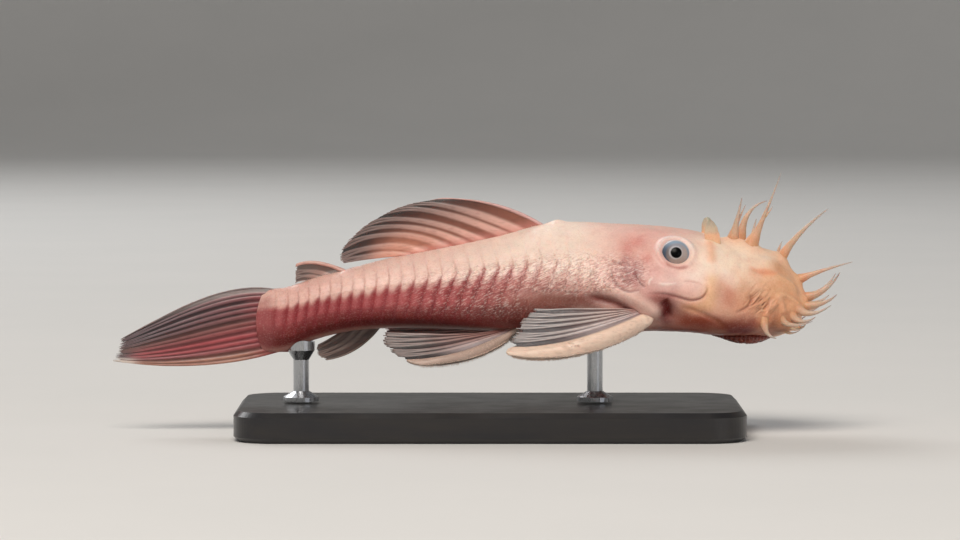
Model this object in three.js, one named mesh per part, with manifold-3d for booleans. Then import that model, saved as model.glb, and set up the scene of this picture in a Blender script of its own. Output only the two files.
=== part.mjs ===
// A male albino bristlenose pleco, life size, held over a plain display stand.
// Millimetres. +X runs to the snout, +Z is up, and the fish's right side faces -Y.
// The origin is the centre of the stand base's underside.
import * as THREE from "three";
import { mergeVertices } from "three/addons/utils/BufferGeometryUtils.js";
import Module from "manifold-3d";

const wasm = await Module();
wasm.setup();

// Driving dimensions
const GAP = 0.3; // clearance between neighbouring solids
const ROOT_GAP = 0.32; // clearance round a root that is cut by the body
const PLATE_COUNT = 26; // bony plates from the caudal base to the nape
const PLATE_LIFT = 0.34; // how far a plate's rear edge stands proud
const PLATE_STEP = 0.9; // share of a plate's length before it steps down
const MEMBRANE = 0.5; // thickness of a fin's membrane
const BASE = { length: 84, width: 44, height: 5, corner: 6, edge: 0.8 };
const ROD = { radius: 1.3, foot: 3.0, footHeight: 1.2, cup: 2.3, cupHeight: 1.6 };
const ROD_X = { stand_rod_front: 17.5, stand_rod_rear: -31.5 };

// Cross-sections from the caudal base to the snout. `half` is half the width, `wide` the height of
// the widest level as a share of the depth, `crown` and `keel` the fullness above and below it.
const STATIONS = [
  { x: -37.9, top: 23.3, bottom: 13.8, half: 0.9, wide: 0.5, crown: 2.0, keel: 2.0 },
  { x: -36.4, top: 24.0, bottom: 13.4, half: 1.7, wide: 0.5, crown: 2.0, keel: 2.0 },
  { x: -33.6, top: 24.3, bottom: 13.8, half: 2.7, wide: 0.5, crown: 2.1, keel: 2.1 },
  { x: -28.7, top: 26.0, bottom: 15.7, half: 3.8, wide: 0.5, crown: 2.1, keel: 2.3 },
  { x: -23.2, top: 27.4, bottom: 17.0, half: 4.7, wide: 0.48, crown: 2.1, keel: 2.5 },
  { x: -17.2, top: 29.0, bottom: 17.5, half: 5.7, wide: 0.46, crown: 2.0, keel: 2.7 },
  { x: -11.2, top: 30.2, bottom: 17.6, half: 6.9, wide: 0.44, crown: 1.9, keel: 2.9 },
  { x: -5.2, top: 31.4, bottom: 17.4, half: 8.2, wide: 0.43, crown: 1.8, keel: 3.1 },
  { x: 1.7, top: 32.9, bottom: 17.1, half: 9.7, wide: 0.42, crown: 1.75, keel: 3.2 },
  { x: 8.3, top: 34.7, bottom: 16.9, half: 11.0, wide: 0.41, crown: 1.75, keel: 3.2 },
  { x: 14.2, top: 35.2, bottom: 16.9, half: 12.1, wide: 0.4, crown: 1.8, keel: 3.2 },
  { x: 20.8, top: 34.9, bottom: 17.0, half: 13.1, wide: 0.39, crown: 1.9, keel: 3.1 },
  { x: 26.7, top: 34.6, bottom: 17.2, half: 13.5, wide: 0.38, crown: 2.0, keel: 3.0 },
  { x: 32.5, top: 34.0, bottom: 17.0, half: 13.3, wide: 0.37, crown: 2.1, keel: 2.9 },
  { x: 37.5, top: 32.8, bottom: 16.5, half: 12.6, wide: 0.36, crown: 2.15, keel: 2.8 },
  { x: 42.5, top: 31.2, bottom: 16.2, half: 11.2, wide: 0.35, crown: 2.15, keel: 2.7 },
  { x: 46.7, top: 30.3, bottom: 16.1, half: 9.4, wide: 0.35, crown: 2.1, keel: 2.6 },
  { x: 49.7, top: 27.8, bottom: 16.9, half: 7.2, wide: 0.36, crown: 2.0, keel: 2.4 },
  { x: 51.5, top: 25.0, bottom: 18.2, half: 4.4, wide: 0.38, crown: 2.0, keel: 2.2 },
  { x: 52.3, top: 21.3, bottom: 21.3, half: 0, wide: 0.5, crown: 2.0, keel: 2.0 },
];
const LAST = STATIONS.length - 1;

// Plate rows on one side as shares of the way from the back's midline to the belly's midline.
const ROW_EDGES = [0, 0.15, 0.31, 0.47, 0.62, 0.75];
const ROW_STEPS = [0, 0.22, 0.78];
const BELLY_STEPS = [0.75, 0.83, 0.92];
const HALF_RING = [];
ROW_EDGES.slice(0, -1).forEach((edge, row) => {
  ROW_STEPS.forEach((s) => HALF_RING.push(edge + s * (ROW_EDGES[row + 1] - edge)));
});
HALF_RING.push(...BELLY_STEPS, 1);

// Where the plates start and end. Their edges run forward most at one level of the flank, and slant
// back above and below it, more so towards the front.
const PLATES_FROM_X = 17.0;
const PLATES_TO_X = -37.0;
const SLANT_TAIL = 1.0;
const SLANT_FORE = 4.4;
const SLANT_ROW = 0.34;

const smooth = (a, b, v) => {
  const t = Math.min(1, Math.max(0, (v - a) / (b - a)));
  return t * t * (3 - 2 * t);
};
const lerp = (a, b, t) => a + (b - a) * t;

// Catmull-Rom value of a station's field at parameter t, from 0 to LAST.
function field(name, t) {
  const i = Math.min(LAST - 1, Math.max(0, Math.floor(t)));
  const u = t - i;
  const [p0, p1, p2, p3] = [i - 1, i, i + 1, i + 2].map(
    (k) => STATIONS[Math.min(LAST, Math.max(0, k))][name],
  );
  return (
    p1 +
    0.5 * u * (p2 - p0 + u * (2 * p0 - 5 * p1 + 4 * p2 - p3 + u * (3 * (p1 - p2) + p3 - p0)))
  );
}

// The parameter at which the station line reaches a given x.
function atX(x) {
  let [low, high] = [0, LAST];
  for (let i = 0; i < 40; i++) {
    const mid = (low + high) / 2;
    if (field("x", mid) < x) low = mid;
    else high = mid;
  }
  return (low + high) / 2;
}

// A point of the smooth body; f runs from the back's midline (0) to the belly's (1).
function basePoint(t, f, side) {
  const top = field("top", t);
  const bottom = field("bottom", t);
  const half = Math.max(0, field("half", t));
  const level = lerp(bottom, top, field("wide", t));
  const above = f < 0.5;
  const power = 2 / field(above ? "crown" : "keel", t);
  const reach = above ? top - level : level - bottom;
  const c = Math.cos(Math.PI * f);
  const s = Math.sin(Math.PI * f);
  return new THREE.Vector3(
    field("x", t),
    side * half * Math.pow(Math.max(0, s), power),
    level + Math.sign(c) * reach * Math.pow(Math.abs(c), power),
  );
}

// The outward direction of the smooth body.
function baseNormal(t, f, side) {
  const dt = 0.02;
  const df = 0.004;
  const f0 = Math.max(0.004, Math.min(0.996, f));
  const along = basePoint(Math.min(LAST, t + dt), f0, side)
    .sub(basePoint(Math.max(0, t - dt), f0, side));
  const round = basePoint(t, f0 + df, side).sub(basePoint(t, f0 - df, side));
  const n = along.cross(round).multiplyScalar(side);
  if (f === 0 || f === 1) n.y = 0;
  return n.normalize();
}

// How far a plate's surface stands over the smooth body. Each plate rises towards its rear edge,
// rounds down to its row's edges, and fades out on the belly and before the head.
function plateHeight(x, f, share) {
  const row = ROW_EDGES.findIndex((edge, i) => f >= edge && f < ROW_EDGES[i + 1]);
  if (row < 0) return 0;
  const r = (f - ROW_EDGES[row]) / (ROW_EDGES[row + 1] - ROW_EDGES[row]);
  const across = smooth(0, 0.22, r) * smooth(1, 0.78, r);
  const fade = smooth(PLATES_FROM_X + 1, PLATES_FROM_X - 5, x) * smooth(-37.4, -34, x);
  return PLATE_LIFT * fade * across * (0.25 + 0.75 * share);
}

// Soft swellings: cheek, gill cover, the pinch under the cheek, snout pads, nape, and the bump in
// front of the dorsal fin.
const SWELLINGS = [
  { at: [27.5, 13.2, 24.8], radius: 4.6, lift: 0.7 },
  { at: [34.0, 12.9, 24.6], radius: 3.8, lift: 0.6 },
  { at: [30.5, 13.4, 19.8], radius: 2.6, lift: -0.9 },
  { at: [39.5, 11.8, 20.0], radius: 4.2, lift: 0.7 },
  { at: [46.5, 8.0, 22.0], radius: 3.6, lift: 0.45 },
  { at: [43.0, 3.0, 31.0], radius: 3.0, lift: 0.3 },
  { at: [24.5, 6.0, 33.5], radius: 3.5, lift: 0.35 },
  { at: [11.2, 0.0, 34.9], radius: 1.3, lift: 0.5 },
];

// An eye's rim stands round it, and `turn` tips the skin about it, out to `reach`, from the back
// towards the side.
const EYE = {
  x: 30.5,
  z: 30.6,
  radius: 2.75,
  proud: 1.3,
  rim: 0.42,
  rimWidth: 0.55,
  turn: 0.3,
  reach: 4.2,
};

function headHeight(p) {
  const y = Math.abs(p.y);
  let lift = 0;
  for (const { at, radius, lift: amount } of SWELLINGS) {
    const d2 = (p.x - at[0]) ** 2 + (y - at[1]) ** 2 + (p.z - at[2]) ** 2;
    lift += amount * Math.exp(-d2 / (radius * radius));
  }
  const away = p.clone().setY(y).sub(EYE_SEAT.point);
  const fromEye = away.length();
  lift += EYE.rim * Math.exp(-(((fromEye - EYE.radius - 0.15) / EYE.rimWidth) ** 2));
  lift += EYE.turn * away.dot(EYE_UPHILL) * Math.exp(-((fromEye / EYE.reach) ** 2));
  return lift;
}

// The body's surface point nearest to a given x and z on one side.
function seatAt(x, z, side) {
  const t = atX(x);
  let [low, high] = [0, 1];
  for (let i = 0; i < 40; i++) {
    const mid = (low + high) / 2;
    if (basePoint(t, mid, side).z > z) low = mid;
    else high = mid;
  }
  return { t, f: low, point: basePoint(t, low, side), normal: baseNormal(t, low, side) };
}
const EYE_SEAT = seatAt(EYE.x, EYE.z, 1);
const EYE_UPHILL = new THREE.Vector3(0, 0, 1)
  .addScaledVector(EYE_SEAT.normal, -EYE_SEAT.normal.z)
  .normalize();

// Rings of the body. Two rings bound each plate; the head's rings are evenly spaced.
function bodyRings() {
  const rings = [];
  const pitch = (k) => {
    const u = k / PLATE_COUNT;
    return lerp(PLATES_TO_X, PLATES_FROM_X, 0.78 * u + 0.22 * u * u);
  };
  rings.push({ x: STATIONS[0].x, share: 0, slant: 0 });
  for (let k = 0; k < PLATE_COUNT; k++) {
    const rear = pitch(k);
    const next = pitch(k + 1);
    rings.push({ x: rear, share: 1, slant: 1 });
    rings.push({ x: lerp(rear, next, PLATE_STEP), share: 0, slant: 1 });
  }
  const headFrom = atX(PLATES_FROM_X);
  const headRings = 27;
  for (let i = 0; i < headRings; i++) {
    const u = (i + 0.6) / headRings;
    rings.push({ t: lerp(headFrom, LAST, u), share: 0, slant: 0 });
  }
  return rings;
}
const RINGS = bodyRings();

function ringPoint(ring, f, side, lift) {
  let t = ring.t;
  if (t === undefined) {
    const ends = smooth(PLATES_TO_X, -33, ring.x) * smooth(PLATES_FROM_X + 1, 11, ring.x);
    const slant = lerp(SLANT_TAIL, SLANT_FORE, smooth(-24, 6, ring.x));
    const lean = f < SLANT_ROW ? 1.3 : 2.6;
    const away = Math.min(0.3, Math.abs(f - SLANT_ROW));
    const shift = ring.slant * ends * slant * (0.35 - lean * away);
    t = atX(ring.x + shift);
  }
  const p = basePoint(t, f, side);
  const height = plateHeight(p.x, f, ring.share) + headHeight(p) + lift;
  return p.addScaledVector(baseNormal(t, f, side), height);
}

// A solid from vertices and triangles.
function solidFrom(vertices, triangles) {
  return new wasm.Manifold(
    new wasm.Mesh({
      numProp: 3,
      vertProperties: new Float32Array(vertices.flatMap((v) => [v.x, v.y, v.z])),
      triVerts: new Uint32Array(triangles.flat()),
    }),
  );
}

// Closes a stack of rings, each with the same number of points, with a pole at either end.
function solidFromRings(rings, startPole, endPole) {
  const n = rings[0].length;
  const vertices = [...rings.flat(), startPole, endPole];
  const start = rings.length * n;
  const triangles = [];
  for (let i = 0; i < n; i++) {
    const j = (i + 1) % n;
    triangles.push([start, j, i]);
    for (let k = 0; k + 1 < rings.length; k++) {
      const a = k * n;
      const b = a + n;
      triangles.push([a + i, a + j, b + j], [a + i, b + j, b + i]);
    }
    const last = (rings.length - 1) * n;
    triangles.push([start + 1, last + i, last + j]);
  }
  const solid = solidFrom(vertices, triangles);
  return solid.volume() < 0
    ? solidFrom(vertices, triangles.map(([a, b, c]) => [a, c, b]))
    : solid;
}

// The whole body, from head to caudal base, swollen by `lift`.
function bodySolid(lift) {
  const rings = RINGS.map((ring) => [
    ...HALF_RING.map((f) => ringPoint(ring, f, 1, lift)),
    ...HALF_RING.slice(1, -1).reverse().map((f) => ringPoint(ring, f, -1, lift)),
  ]);
  rings[0].forEach((p) => p.setX(p.x - lift));
  const first = STATIONS[0];
  const tail = new THREE.Vector3(first.x - lift - 0.15, 0, (first.top + first.bottom) / 2);
  const tip = STATIONS[LAST];
  return solidFromRings(rings, tail, new THREE.Vector3(tip.x + lift, 0, tip.top));
}

const largest = (solid) =>
  solid.decompose().reduce((best, s) => (s.volume() > best.volume() ? s : best));

// A thick slab used as a knife. It leans by `lean` radians from upright about Y.
function knife(x, z, lean, from, to) {
  const box = new THREE.BoxGeometry(to - from, 60, 90);
  box.translate((from + to) / 2, 0, 0);
  box.rotateY(lean);
  box.translate(x, 0, z);
  return solidOf(box);
}

function solidOf(geometry) {
  geometry.deleteAttribute("normal");
  geometry.deleteAttribute("uv");
  const merged = mergeVertices(geometry, 1e-4);
  return new wasm.Manifold(
    new wasm.Mesh({
      numProp: 3,
      vertProperties: new Float32Array(merged.attributes.position.array),
      triVerts: new Uint32Array(merged.index.array),
    }),
  );
}

const union = (solids) => solids.reduce((all, s) => all.add(s));

// Tentacles and their forked twigs: name, root, bend, tip, girth, how much the root flares, and how
// quickly the rest tapers.
const TENTACLES = [
  ["fork", [39.9, -2.2, 30.6], [40.8, -2.6, 34.6], [41.8, -3.0, 39.4], 1.2, 0.6, 1.1],
  ["fork_twig", [40.7, -2.5, 34.4], [41.5, -2.3, 36.2], [42.5, -2.0, 38.2], 0.5, 0, 0.9],
  ["hooked", [41.8, 2.0, 30.4], [41.8, 2.6, 37.7], [46.4, 3.0, 38.6], 1.1, 0.35, 1.1],
  ["tall", [42.3, -2.6, 29.4], [45.7, -3.3, 36.3], [48.2, -4.0, 43.5], 1.3, 0.9, 1.6],
  ["tall_twig", [45.6, -3.4, 36.2], [46.3, -3.6, 37.0], [46.9, -3.7, 38.0], 0.35, 0, 1],
  ["tall_far", [43.4, 2.4, 29.3], [43.9, 3.2, 33.2], [44.6, 3.8, 35.6], 0.9, 0.35, 1],
  ["front", [48.0, -0.9, 28.4], [50.4, -1.3, 33.1], [56.2, -2.2, 37.5], 1.2, 0.2, 1],
  ["front_far", [47.8, 1.6, 28.3], [48.2, 2.4, 30.8], [48.9, 3.0, 31.9], 0.6, 0.35, 1],
  ["brow", [50.2, -1.6, 25.2], [54.6, -2.4, 27.2], [60.2, -3.2, 28.7], 0.95, 0.5, 1.1],
  ["brow_far", [50.3, 2.6, 24.8], [54.4, 3.6, 26.7], [58.4, 4.6, 27.8], 0.8, 0.35, 1.1],
  ["lip_1", [51.0, -2.4, 22.6], [55.7, -3.8, 22.8], [58.0, -4.6, 27.1], 1.1, 0.35, 0.9],
  ["lip_2", [50.7, -3.8, 21.4], [55.3, -5.4, 21.2], [57.4, -6.2, 23.5], 1.0, 0.35, 0.95],
  ["lip_3", [49.6, -6.2, 22.4], [52.0, -7.9, 18.7], [56.3, -8.0, 21.8], 1.15, 0.35, 1],
  ["lip_4", [49.0, -7.0, 21.3], [50.6, -8.6, 17.7], [53.7, -8.6, 19.9], 1.0, 0.35, 1],
  ["lip_5", [47.6, -7.9, 22.0], [47.3, -9.5, 17.0], [53.2, -8.9, 19.2], 1.05, 0.35, 1],
  ["lip_6", [48.6, -6.8, 19.4], [49.9, -7.7, 16.8], [52.0, -7.2, 18.2], 0.65, 0.35, 1],
  ["lip_7", [47.8, -6.2, 18.8], [49.0, -7.3, 16.1], [51.3, -6.6, 17.6], 0.6, 0.35, 1],
  ["cheek", [45.2, -9.4, 20.7], [44.5, -11.6, 16.8], [47.1, -11.0, 16.5], 0.95, 0.35, 1],
  ["lip_1_far", [51.0, 1.2, 22.4], [55.6, 1.8, 22.5], [57.8, 2.2, 26.5], 1.0, 0.35, 0.9],
  ["lip_2_far", [50.7, 3.0, 21.1], [54.9, 4.8, 20.8], [57.0, 5.8, 22.7], 0.95, 0.35, 0.95],
  ["lip_3_far", [49.6, 6.2, 21.8], [52.0, 7.9, 18.0], [55.9, 8.2, 20.9], 1.1, 0.35, 1],
  ["lip_4_far", [49.0, 7.0, 20.7], [50.6, 8.6, 16.9], [53.4, 8.8, 19.0], 0.95, 0.35, 1],
  ["lip_5_far", [47.6, 7.9, 21.3], [47.3, 9.5, 16.2], [52.7, 9.0, 18.3], 1.0, 0.35, 1],
  ["lip_6_far", [48.6, 6.8, 18.9], [49.9, 7.7, 16.3], [51.8, 7.2, 17.6], 0.65, 0.35, 1],
  ["lip_7_far", [47.8, 6.2, 18.5], [49.0, 7.3, 15.9], [51.1, 6.6, 17.1], 0.6, 0.35, 1],
  ["cheek_far", [45.2, 9.4, 20.1], [44.5, 11.6, 16.1], [46.8, 11.0, 15.8], 0.9, 0.35, 1],
  ["under", [50.4, -1.6, 18.7], [51.4, -2.2, 16.9], [52.5, -2.6, 18.3], 0.6, 0.35, 1],
  ["under_far", [50.4, 1.6, 18.7], [51.4, 2.2, 16.9], [52.5, 2.6, 18.3], 0.6, 0.35, 1],
].map(([name, root, bend, tip, width, flare, taper]) => ({ name, root, bend, tip, width, flare, taper }));
const TENTACLE_SIDES = 5;
const TENTACLE_STEPS = 5;

function bezier(root, bend, tip, t) {
  const [a, b, c] = [root, bend, tip].map((p) => new THREE.Vector3(...p));
  return a.multiplyScalar((1 - t) ** 2).addScaledVector(b, 2 * t * (1 - t)).addScaledVector(c, t * t);
}

// A tentacle's radius: a broad root and a tapering rest.
function tentacleGirth({ width, flare, taper }, t, length) {
  const root = flare * Math.exp(-(((t * length) / (2.6 * width)) ** 2));
  return width * (0.08 + 0.58 * (1 - t) ** taper + root);
}

// A nostril flap's radius: full to near its rounded top.
const flapGirth = ({ width }, t) => width * Math.sqrt(1 - (Math.max(0, t - 0.2) / 0.82) ** 2);

// A curved spine from root to tip whose rings lie closest at the root, flattened by `flat` across.
function spineSolid(spine, girth, flat = 1) {
  const { root, bend, tip } = spine;
  const rings = [];
  const length = bezier(root, bend, tip, 1).distanceTo(bezier(root, bend, tip, 0));
  for (let k = 0; k < TENTACLE_STEPS; k++) {
    const t = (k / TENTACLE_STEPS) ** 1.3;
    const centre = bezier(root, bend, tip, t);
    const ahead = bezier(root, bend, tip, t + 0.02).sub(centre).normalize();
    const across = new THREE.Vector3(0, 1, 0).addScaledVector(ahead, -ahead.y).normalize();
    const up = ahead.clone().cross(across);
    const radius = girth(spine, t, length);
    rings.push(
      Array.from({ length: TENTACLE_SIDES }, (_, i) => {
        const a = (2 * Math.PI * i) / TENTACLE_SIDES;
        return centre
          .clone()
          .addScaledVector(up, radius * Math.cos(a))
          .addScaledVector(across, radius * flat * Math.sin(a));
      }),
    );
  }
  return solidFromRings(rings, bezier(root, bend, tip, 0), bezier(root, bend, tip, 1));
}

// Nostril flaps: upright leaves on the snout between eye and tentacles.
const nostrilFlap = (side) => ({
  root: [37.0, side * 5.0, 30.6],
  bend: [36.8, side * 5.3, 33.4],
  tip: [36.4, side * 5.4, 35.8],
  width: 1.3,
});

// Eyes sit in sockets cut a gap wider than themselves.
function eyeCentre(side) {
  const axis = EYE_SEAT.normal.clone().addScaledVector(EYE_UPHILL, -EYE.turn).normalize();
  const centre = EYE_SEAT.point.clone().addScaledVector(axis, EYE.proud - EYE.radius);
  return centre.setY(side * centre.y);
}

function ball(centre, radius, across, rings) {
  const sphere = new THREE.SphereGeometry(radius, across, rings);
  sphere.translate(centre.x, centre.y, centre.z);
  return solidOf(sphere);
}

// Mouth: a suction disc of two fleshy lips under the snout, deepest at its middle and
// thinning to its front and rear edges.
const MOUTH = {
  x: 42.4,
  z: 16.3,
  front: 4.9,
  rear: 5.4,
  half: 7.6,
  slitX: 0.8,
  slit: 1.2,
  slitHalf: 3.9,
  thick: 1.1,
  thin: 0.1,
  deepest: 0.1,
  dome: 5.4,
};

function lipSolid() {
  const around = 28;
  const across = 8;
  const rings = Array.from({ length: across }, (_, j) => {
    const b = (2 * Math.PI * j) / across;
    const out = 0.5 - 0.5 * Math.cos(b);
    const drop = -Math.sin(b) * MOUTH.thick;
    return Array.from({ length: around }, (_, i) => {
      const a = (2 * Math.PI * i) / around;
      const reach = Math.cos(a) > 0 ? MOUTH.front : MOUTH.rear;
      const inner = [MOUTH.slitX + MOUTH.slit * Math.cos(a), MOUTH.slitHalf * Math.sin(a)];
      const outer = [reach * Math.cos(a), MOUTH.half * Math.sin(a)];
      const ahead = lerp(inner[0], outer[0], out);
      const fall = Math.max(0, 1 - ((ahead - MOUTH.deepest) / MOUTH.dome) ** 2);
      const dome = lerp(MOUTH.thin, 1, fall ** 1.3);
      return new THREE.Vector3(
        MOUTH.x + ahead,
        lerp(inner[1], outer[1], out),
        MOUTH.z + drop * (drop < 0 ? dome : 1),
      );
    });
  });
  const triangles = [];
  for (let j = 0; j < across; j++) {
    for (let i = 0; i < around; i++) {
      const [a, b] = [j * around + i, j * around + ((i + 1) % around)];
      const [c, d] = [a, b].map((k) => (k + around) % (around * across));
      triangles.push([a, b, d], [a, d, c]);
    }
  }
  const made = solidFrom(rings.flat(), triangles);
  return made.volume() < 0
    ? solidFrom(rings.flat(), triangles.map(([a, b, c]) => [a, c, b]))
    : made;
}

// Fins. A net gives each fin's key rays, first to last, as four points from root to tip; the fin's
// surface runs smoothly through them. The leading spine takes up `width` of the fin at its tip and
// `gain` more at its root, and `half` and `ridge` are half the thickness of spine and rays. Webs
// fall short of the edge by `notch`, and `push` carries the root into the body, where it is cut.
const FINS = {
  caudal_fin: {
    rays: 13,
    steps: 7,
    spine: { width: 0.03, gain: 0, half: 0.42 },
    push: [2.6, 0, 0],
    ridge: 0.42,
    notch: 0.035,
    net: [
      [[-35.2, 0, 23.9], [-44.5, 0.2, 23.5], [-53.5, 0.5, 19.9], [-61.6, 0.9, 15.6]],
      [[-36.4, 0, 20.9], [-45.2, -0.2, 19.6], [-54.2, -0.1, 16.9], [-62.1, 0.6, 14.3]],
      [[-36.4, 0, 16.9], [-45.0, 0.2, 15.4], [-54.2, 0.4, 13.7], [-62.6, 0.7, 12.9]],
      [[-35.2, 0, 13.5], [-44.3, 0, 11.6], [-53.8, 0.1, 11.2], [-63.3, 0.5, 12.0]],
    ],
  },
  dorsal_fin: {
    rays: 8,
    steps: 8,
    spine: { width: 0.03, gain: 0, half: 0.5 },
    push: [0.6, 0, -1.6],
    ridge: 0.45,
    notch: 0.03,
    net: [
      [[9.4, 0, 34.5], [3.0, 0.1, 37.6], [-3.5, 0.2, 38.9], [-9.7, 0.4, 38.7]],
      [[1.3, 0, 32.6], [-5.8, -0.1, 35.3], [-12.6, 0.1, 36.7], [-18.6, 0.5, 36.0]],
      [[-6.8, 0, 31.0], [-12.5, 0.1, 33.1], [-18.8, 0.3, 33.2], [-24.3, 0.6, 31.3]],
      [[-15.0, 0, 29.4], [-18.0, 0, 29.2], [-21.2, 0.1, 28.8], [-24.6, 0.2, 28.3]],
    ],
  },
  adipose_fin: {
    rays: 4,
    steps: 5,
    spine: { width: 0.16, gain: 0, half: 0.45 },
    push: [0.6, 0, -1.6],
    ridge: 0.3,
    notch: 0,
    net: [
      [[-23.9, 0, 27.2], [-26.7, 0, 28.2], [-29.6, 0, 28.7], [-32.3, 0.1, 28.2]],
      [[-26.2, 0, 26.5], [-28.4, 0, 27.2], [-30.5, 0, 27.4], [-32.5, 0.1, 27.0]],
      [[-28.6, 0, 25.8], [-29.9, 0, 26.1], [-31.2, 0, 26.1], [-32.5, 0.1, 25.8]],
      [[-30.6, 0, 25.3], [-31.2, 0, 25.3], [-31.9, 0, 25.2], [-32.5, 0, 24.9]],
    ],
  },
  anal_fin: {
    rays: 5,
    steps: 6,
    spine: { width: 0.07, gain: 0, half: 0.45 },
    push: [0.6, 0, 1.8],
    ridge: 0.4,
    notch: 0.04,
    net: [
      [[-18.3, 0, 17.5], [-21.2, 0, 14.6], [-24.2, 0, 12.9], [-27.2, 0, 12.1]],
      [[-21.0, 0, 17.3], [-23.4, 0, 15.0], [-26.0, 0, 13.6], [-28.6, 0, 12.8]],
      [[-23.4, 0, 17.1], [-25.2, 0, 15.6], [-27.1, 0, 14.5], [-29.0, 0, 13.8]],
      [[-25.2, 0, 16.7], [-26.4, 0, 16.0], [-27.6, 0, 15.3], [-28.8, 0, 14.7]],
    ],
  },
  pectoral_fin: {
    rays: 7,
    steps: 9,
    spine: { width: 0.25, gain: 0.41, half: 1.1 },
    push: [-0.4, 2.8, 0.9],
    ridge: 0.45,
    notch: 0.03,
    net: [
      [[26.8, -11.6, 19.2], [19.2, -15.8, 15.4], [10.6, -17.8, 13.7], [2.4, -18.6, 14.4]],
      [[25.8, -12.0, 19.9], [18.9, -15.5, 17.8], [10.9, -16.7, 16.2], [3.1, -17.0, 16.1]],
      [[24.8, -12.3, 20.6], [18.7, -15.2, 19.8], [11.8, -15.7, 19.0], [4.5, -15.5, 19.0]],
      [[23.8, -12.5, 21.2], [18.5, -14.7, 21.6], [12.9, -14.7, 21.6], [7.0, -13.9, 21.5]],
    ],
  },
  pelvic_fin: {
    rays: 6,
    steps: 8,
    spine: { width: 0.22, gain: 0.2, half: 0.8 },
    push: [1.2, 0.8, 1.4],
    ridge: 0.42,
    notch: 0.035,
    net: [
      [[4.6, -6.4, 17.1], [-0.9, -9.4, 13.8], [-6.7, -11.6, 12.4], [-12.3, -12.6, 12.1]],
      [[3.8, -6.3, 17.2], [-2.7, -8.9, 15.0], [-9.0, -10.7, 13.7], [-15.2, -11.2, 13.5]],
      [[2.8, -6.2, 17.2], [-4.1, -8.3, 16.1], [-10.8, -9.6, 15.3], [-17.4, -9.6, 15.2]],
      [[1.4, -6.1, 17.2], [-5.2, -7.9, 17.0], [-11.6, -8.4, 17.1], [-17.6, -7.9, 17.2]],
    ],
  },
};

// The cubic through four values at 0, 1/3, 2/3 and 1.
function cubic(values, t) {
  const s = 3 * t;
  const weights = [
    -((s - 1) * (s - 2) * (s - 3)) / 6,
    (s * (s - 2) * (s - 3)) / 2,
    -(s * (s - 1) * (s - 3)) / 2,
    (s * (s - 1) * (s - 2)) / 6,
  ];
  return values.reduce((sum, v, i) => sum.addScaledVector(v, weights[i]), new THREE.Vector3());
}

function finPoint(net, u, v) {
  return cubic(net.map((ray) => cubic(ray.map((p) => new THREE.Vector3(...p)), v)), u);
}

function finNormal(net, u, v) {
  const d = 0.01;
  const across = finPoint(net, u + d, v).sub(finPoint(net, u - d, v));
  const along = finPoint(net, u, v + d).sub(finPoint(net, u, v - d));
  return across.cross(along).normalize();
}

// The share of a fin that its leading spine takes up, from the root, where it is broadest, to the tip.
const spineWidth = ({ width, gain }, v) => width + gain * Math.exp(-v / 0.42);

// Columns across a fin: the stout leading spine, then each ray as a ridge with a flat web beside it.
// Webs and the corners of a stout spine fall a little short of the edge.
function finColumns({ rays, spine, ridge, notch }) {
  const web = MEMBRANE / 2;
  const corner = spine.half > 0.6 ? 0.05 : 0;
  const columns = [0, 0.2, 0.5, 0.8].map((s) => ({
    place: (width) => s * width,
    half: lerp(web * 0.7, spine.half, Math.sin(Math.PI * Math.min(1, s + 0.12)) ** 0.6),
    short: corner * Math.abs(2 * s - 1) ** 2.5,
  }));
  for (let i = 0; i < rays - 1; i++) {
    const across = (share) => (width) => width + ((i + share) * (1 - width)) / (rays - 1);
    columns.push({ place: across(0.5), half: web, short: notch });
    columns.push({ place: across(1), half: ridge, short: 0 });
  }
  return columns;
}

// A fin as one closed sheet, split into the same triangles on both faces.
function finSolid(fin, mirrored) {
  const columns = finColumns(fin);
  const rows = fin.steps + 2;
  const push = new THREE.Vector3(...fin.push);
  const faces = [1, -1].map((face) =>
    columns.flatMap(({ place, half, short }) =>
      Array.from({ length: rows }, (_, k) => {
        const v = Math.max(0, k - 1) / fin.steps;
        const u = place(spineWidth(fin.spine, v));
        const reach = v * (1 - short);
        const taper = 1 - 0.62 * smooth(0.55, 1, v);
        const p = finPoint(fin.net, u, reach);
        p.addScaledVector(finNormal(fin.net, u, reach), face * half * taper);
        return k === 0 ? p.add(push) : p;
      }),
    ),
  );
  const vertices = faces.flat();
  const back = columns.length * rows;
  const triangles = [];
  for (let i = 0; i + 1 < columns.length; i++) {
    for (let k = 0; k + 1 < rows; k++) {
      const [a, b] = [i * rows + k, (i + 1) * rows + k];
      triangles.push([a, b, b + 1], [a, b + 1, a + 1]);
      triangles.push([back + a, back + b + 1, back + b], [back + a, back + a + 1, back + b + 1]);
    }
  }
  const rim = [
    ...Array.from({ length: columns.length }, (_, i) => i * rows),
    ...Array.from({ length: rows - 1 }, (_, k) => (columns.length - 1) * rows + k + 1),
    ...Array.from({ length: columns.length - 1 }, (_, i) => (columns.length - 1 - i) * rows - 1),
    ...Array.from({ length: rows - 2 }, (_, k) => rows - 2 - k),
  ];
  rim.forEach((a, i) => {
    const b = rim[(i + 1) % rim.length];
    triangles.push([a, back + b, b], [a, back + a, back + b]);
  });
  if (mirrored) vertices.forEach((p) => p.setY(-p.y));
  const solid = solidFrom(vertices, triangles);
  return solid.volume() < 0
    ? solidFrom(vertices, triangles.map(([a, b, c]) => [a, c, b]))
    : solid;
}

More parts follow.
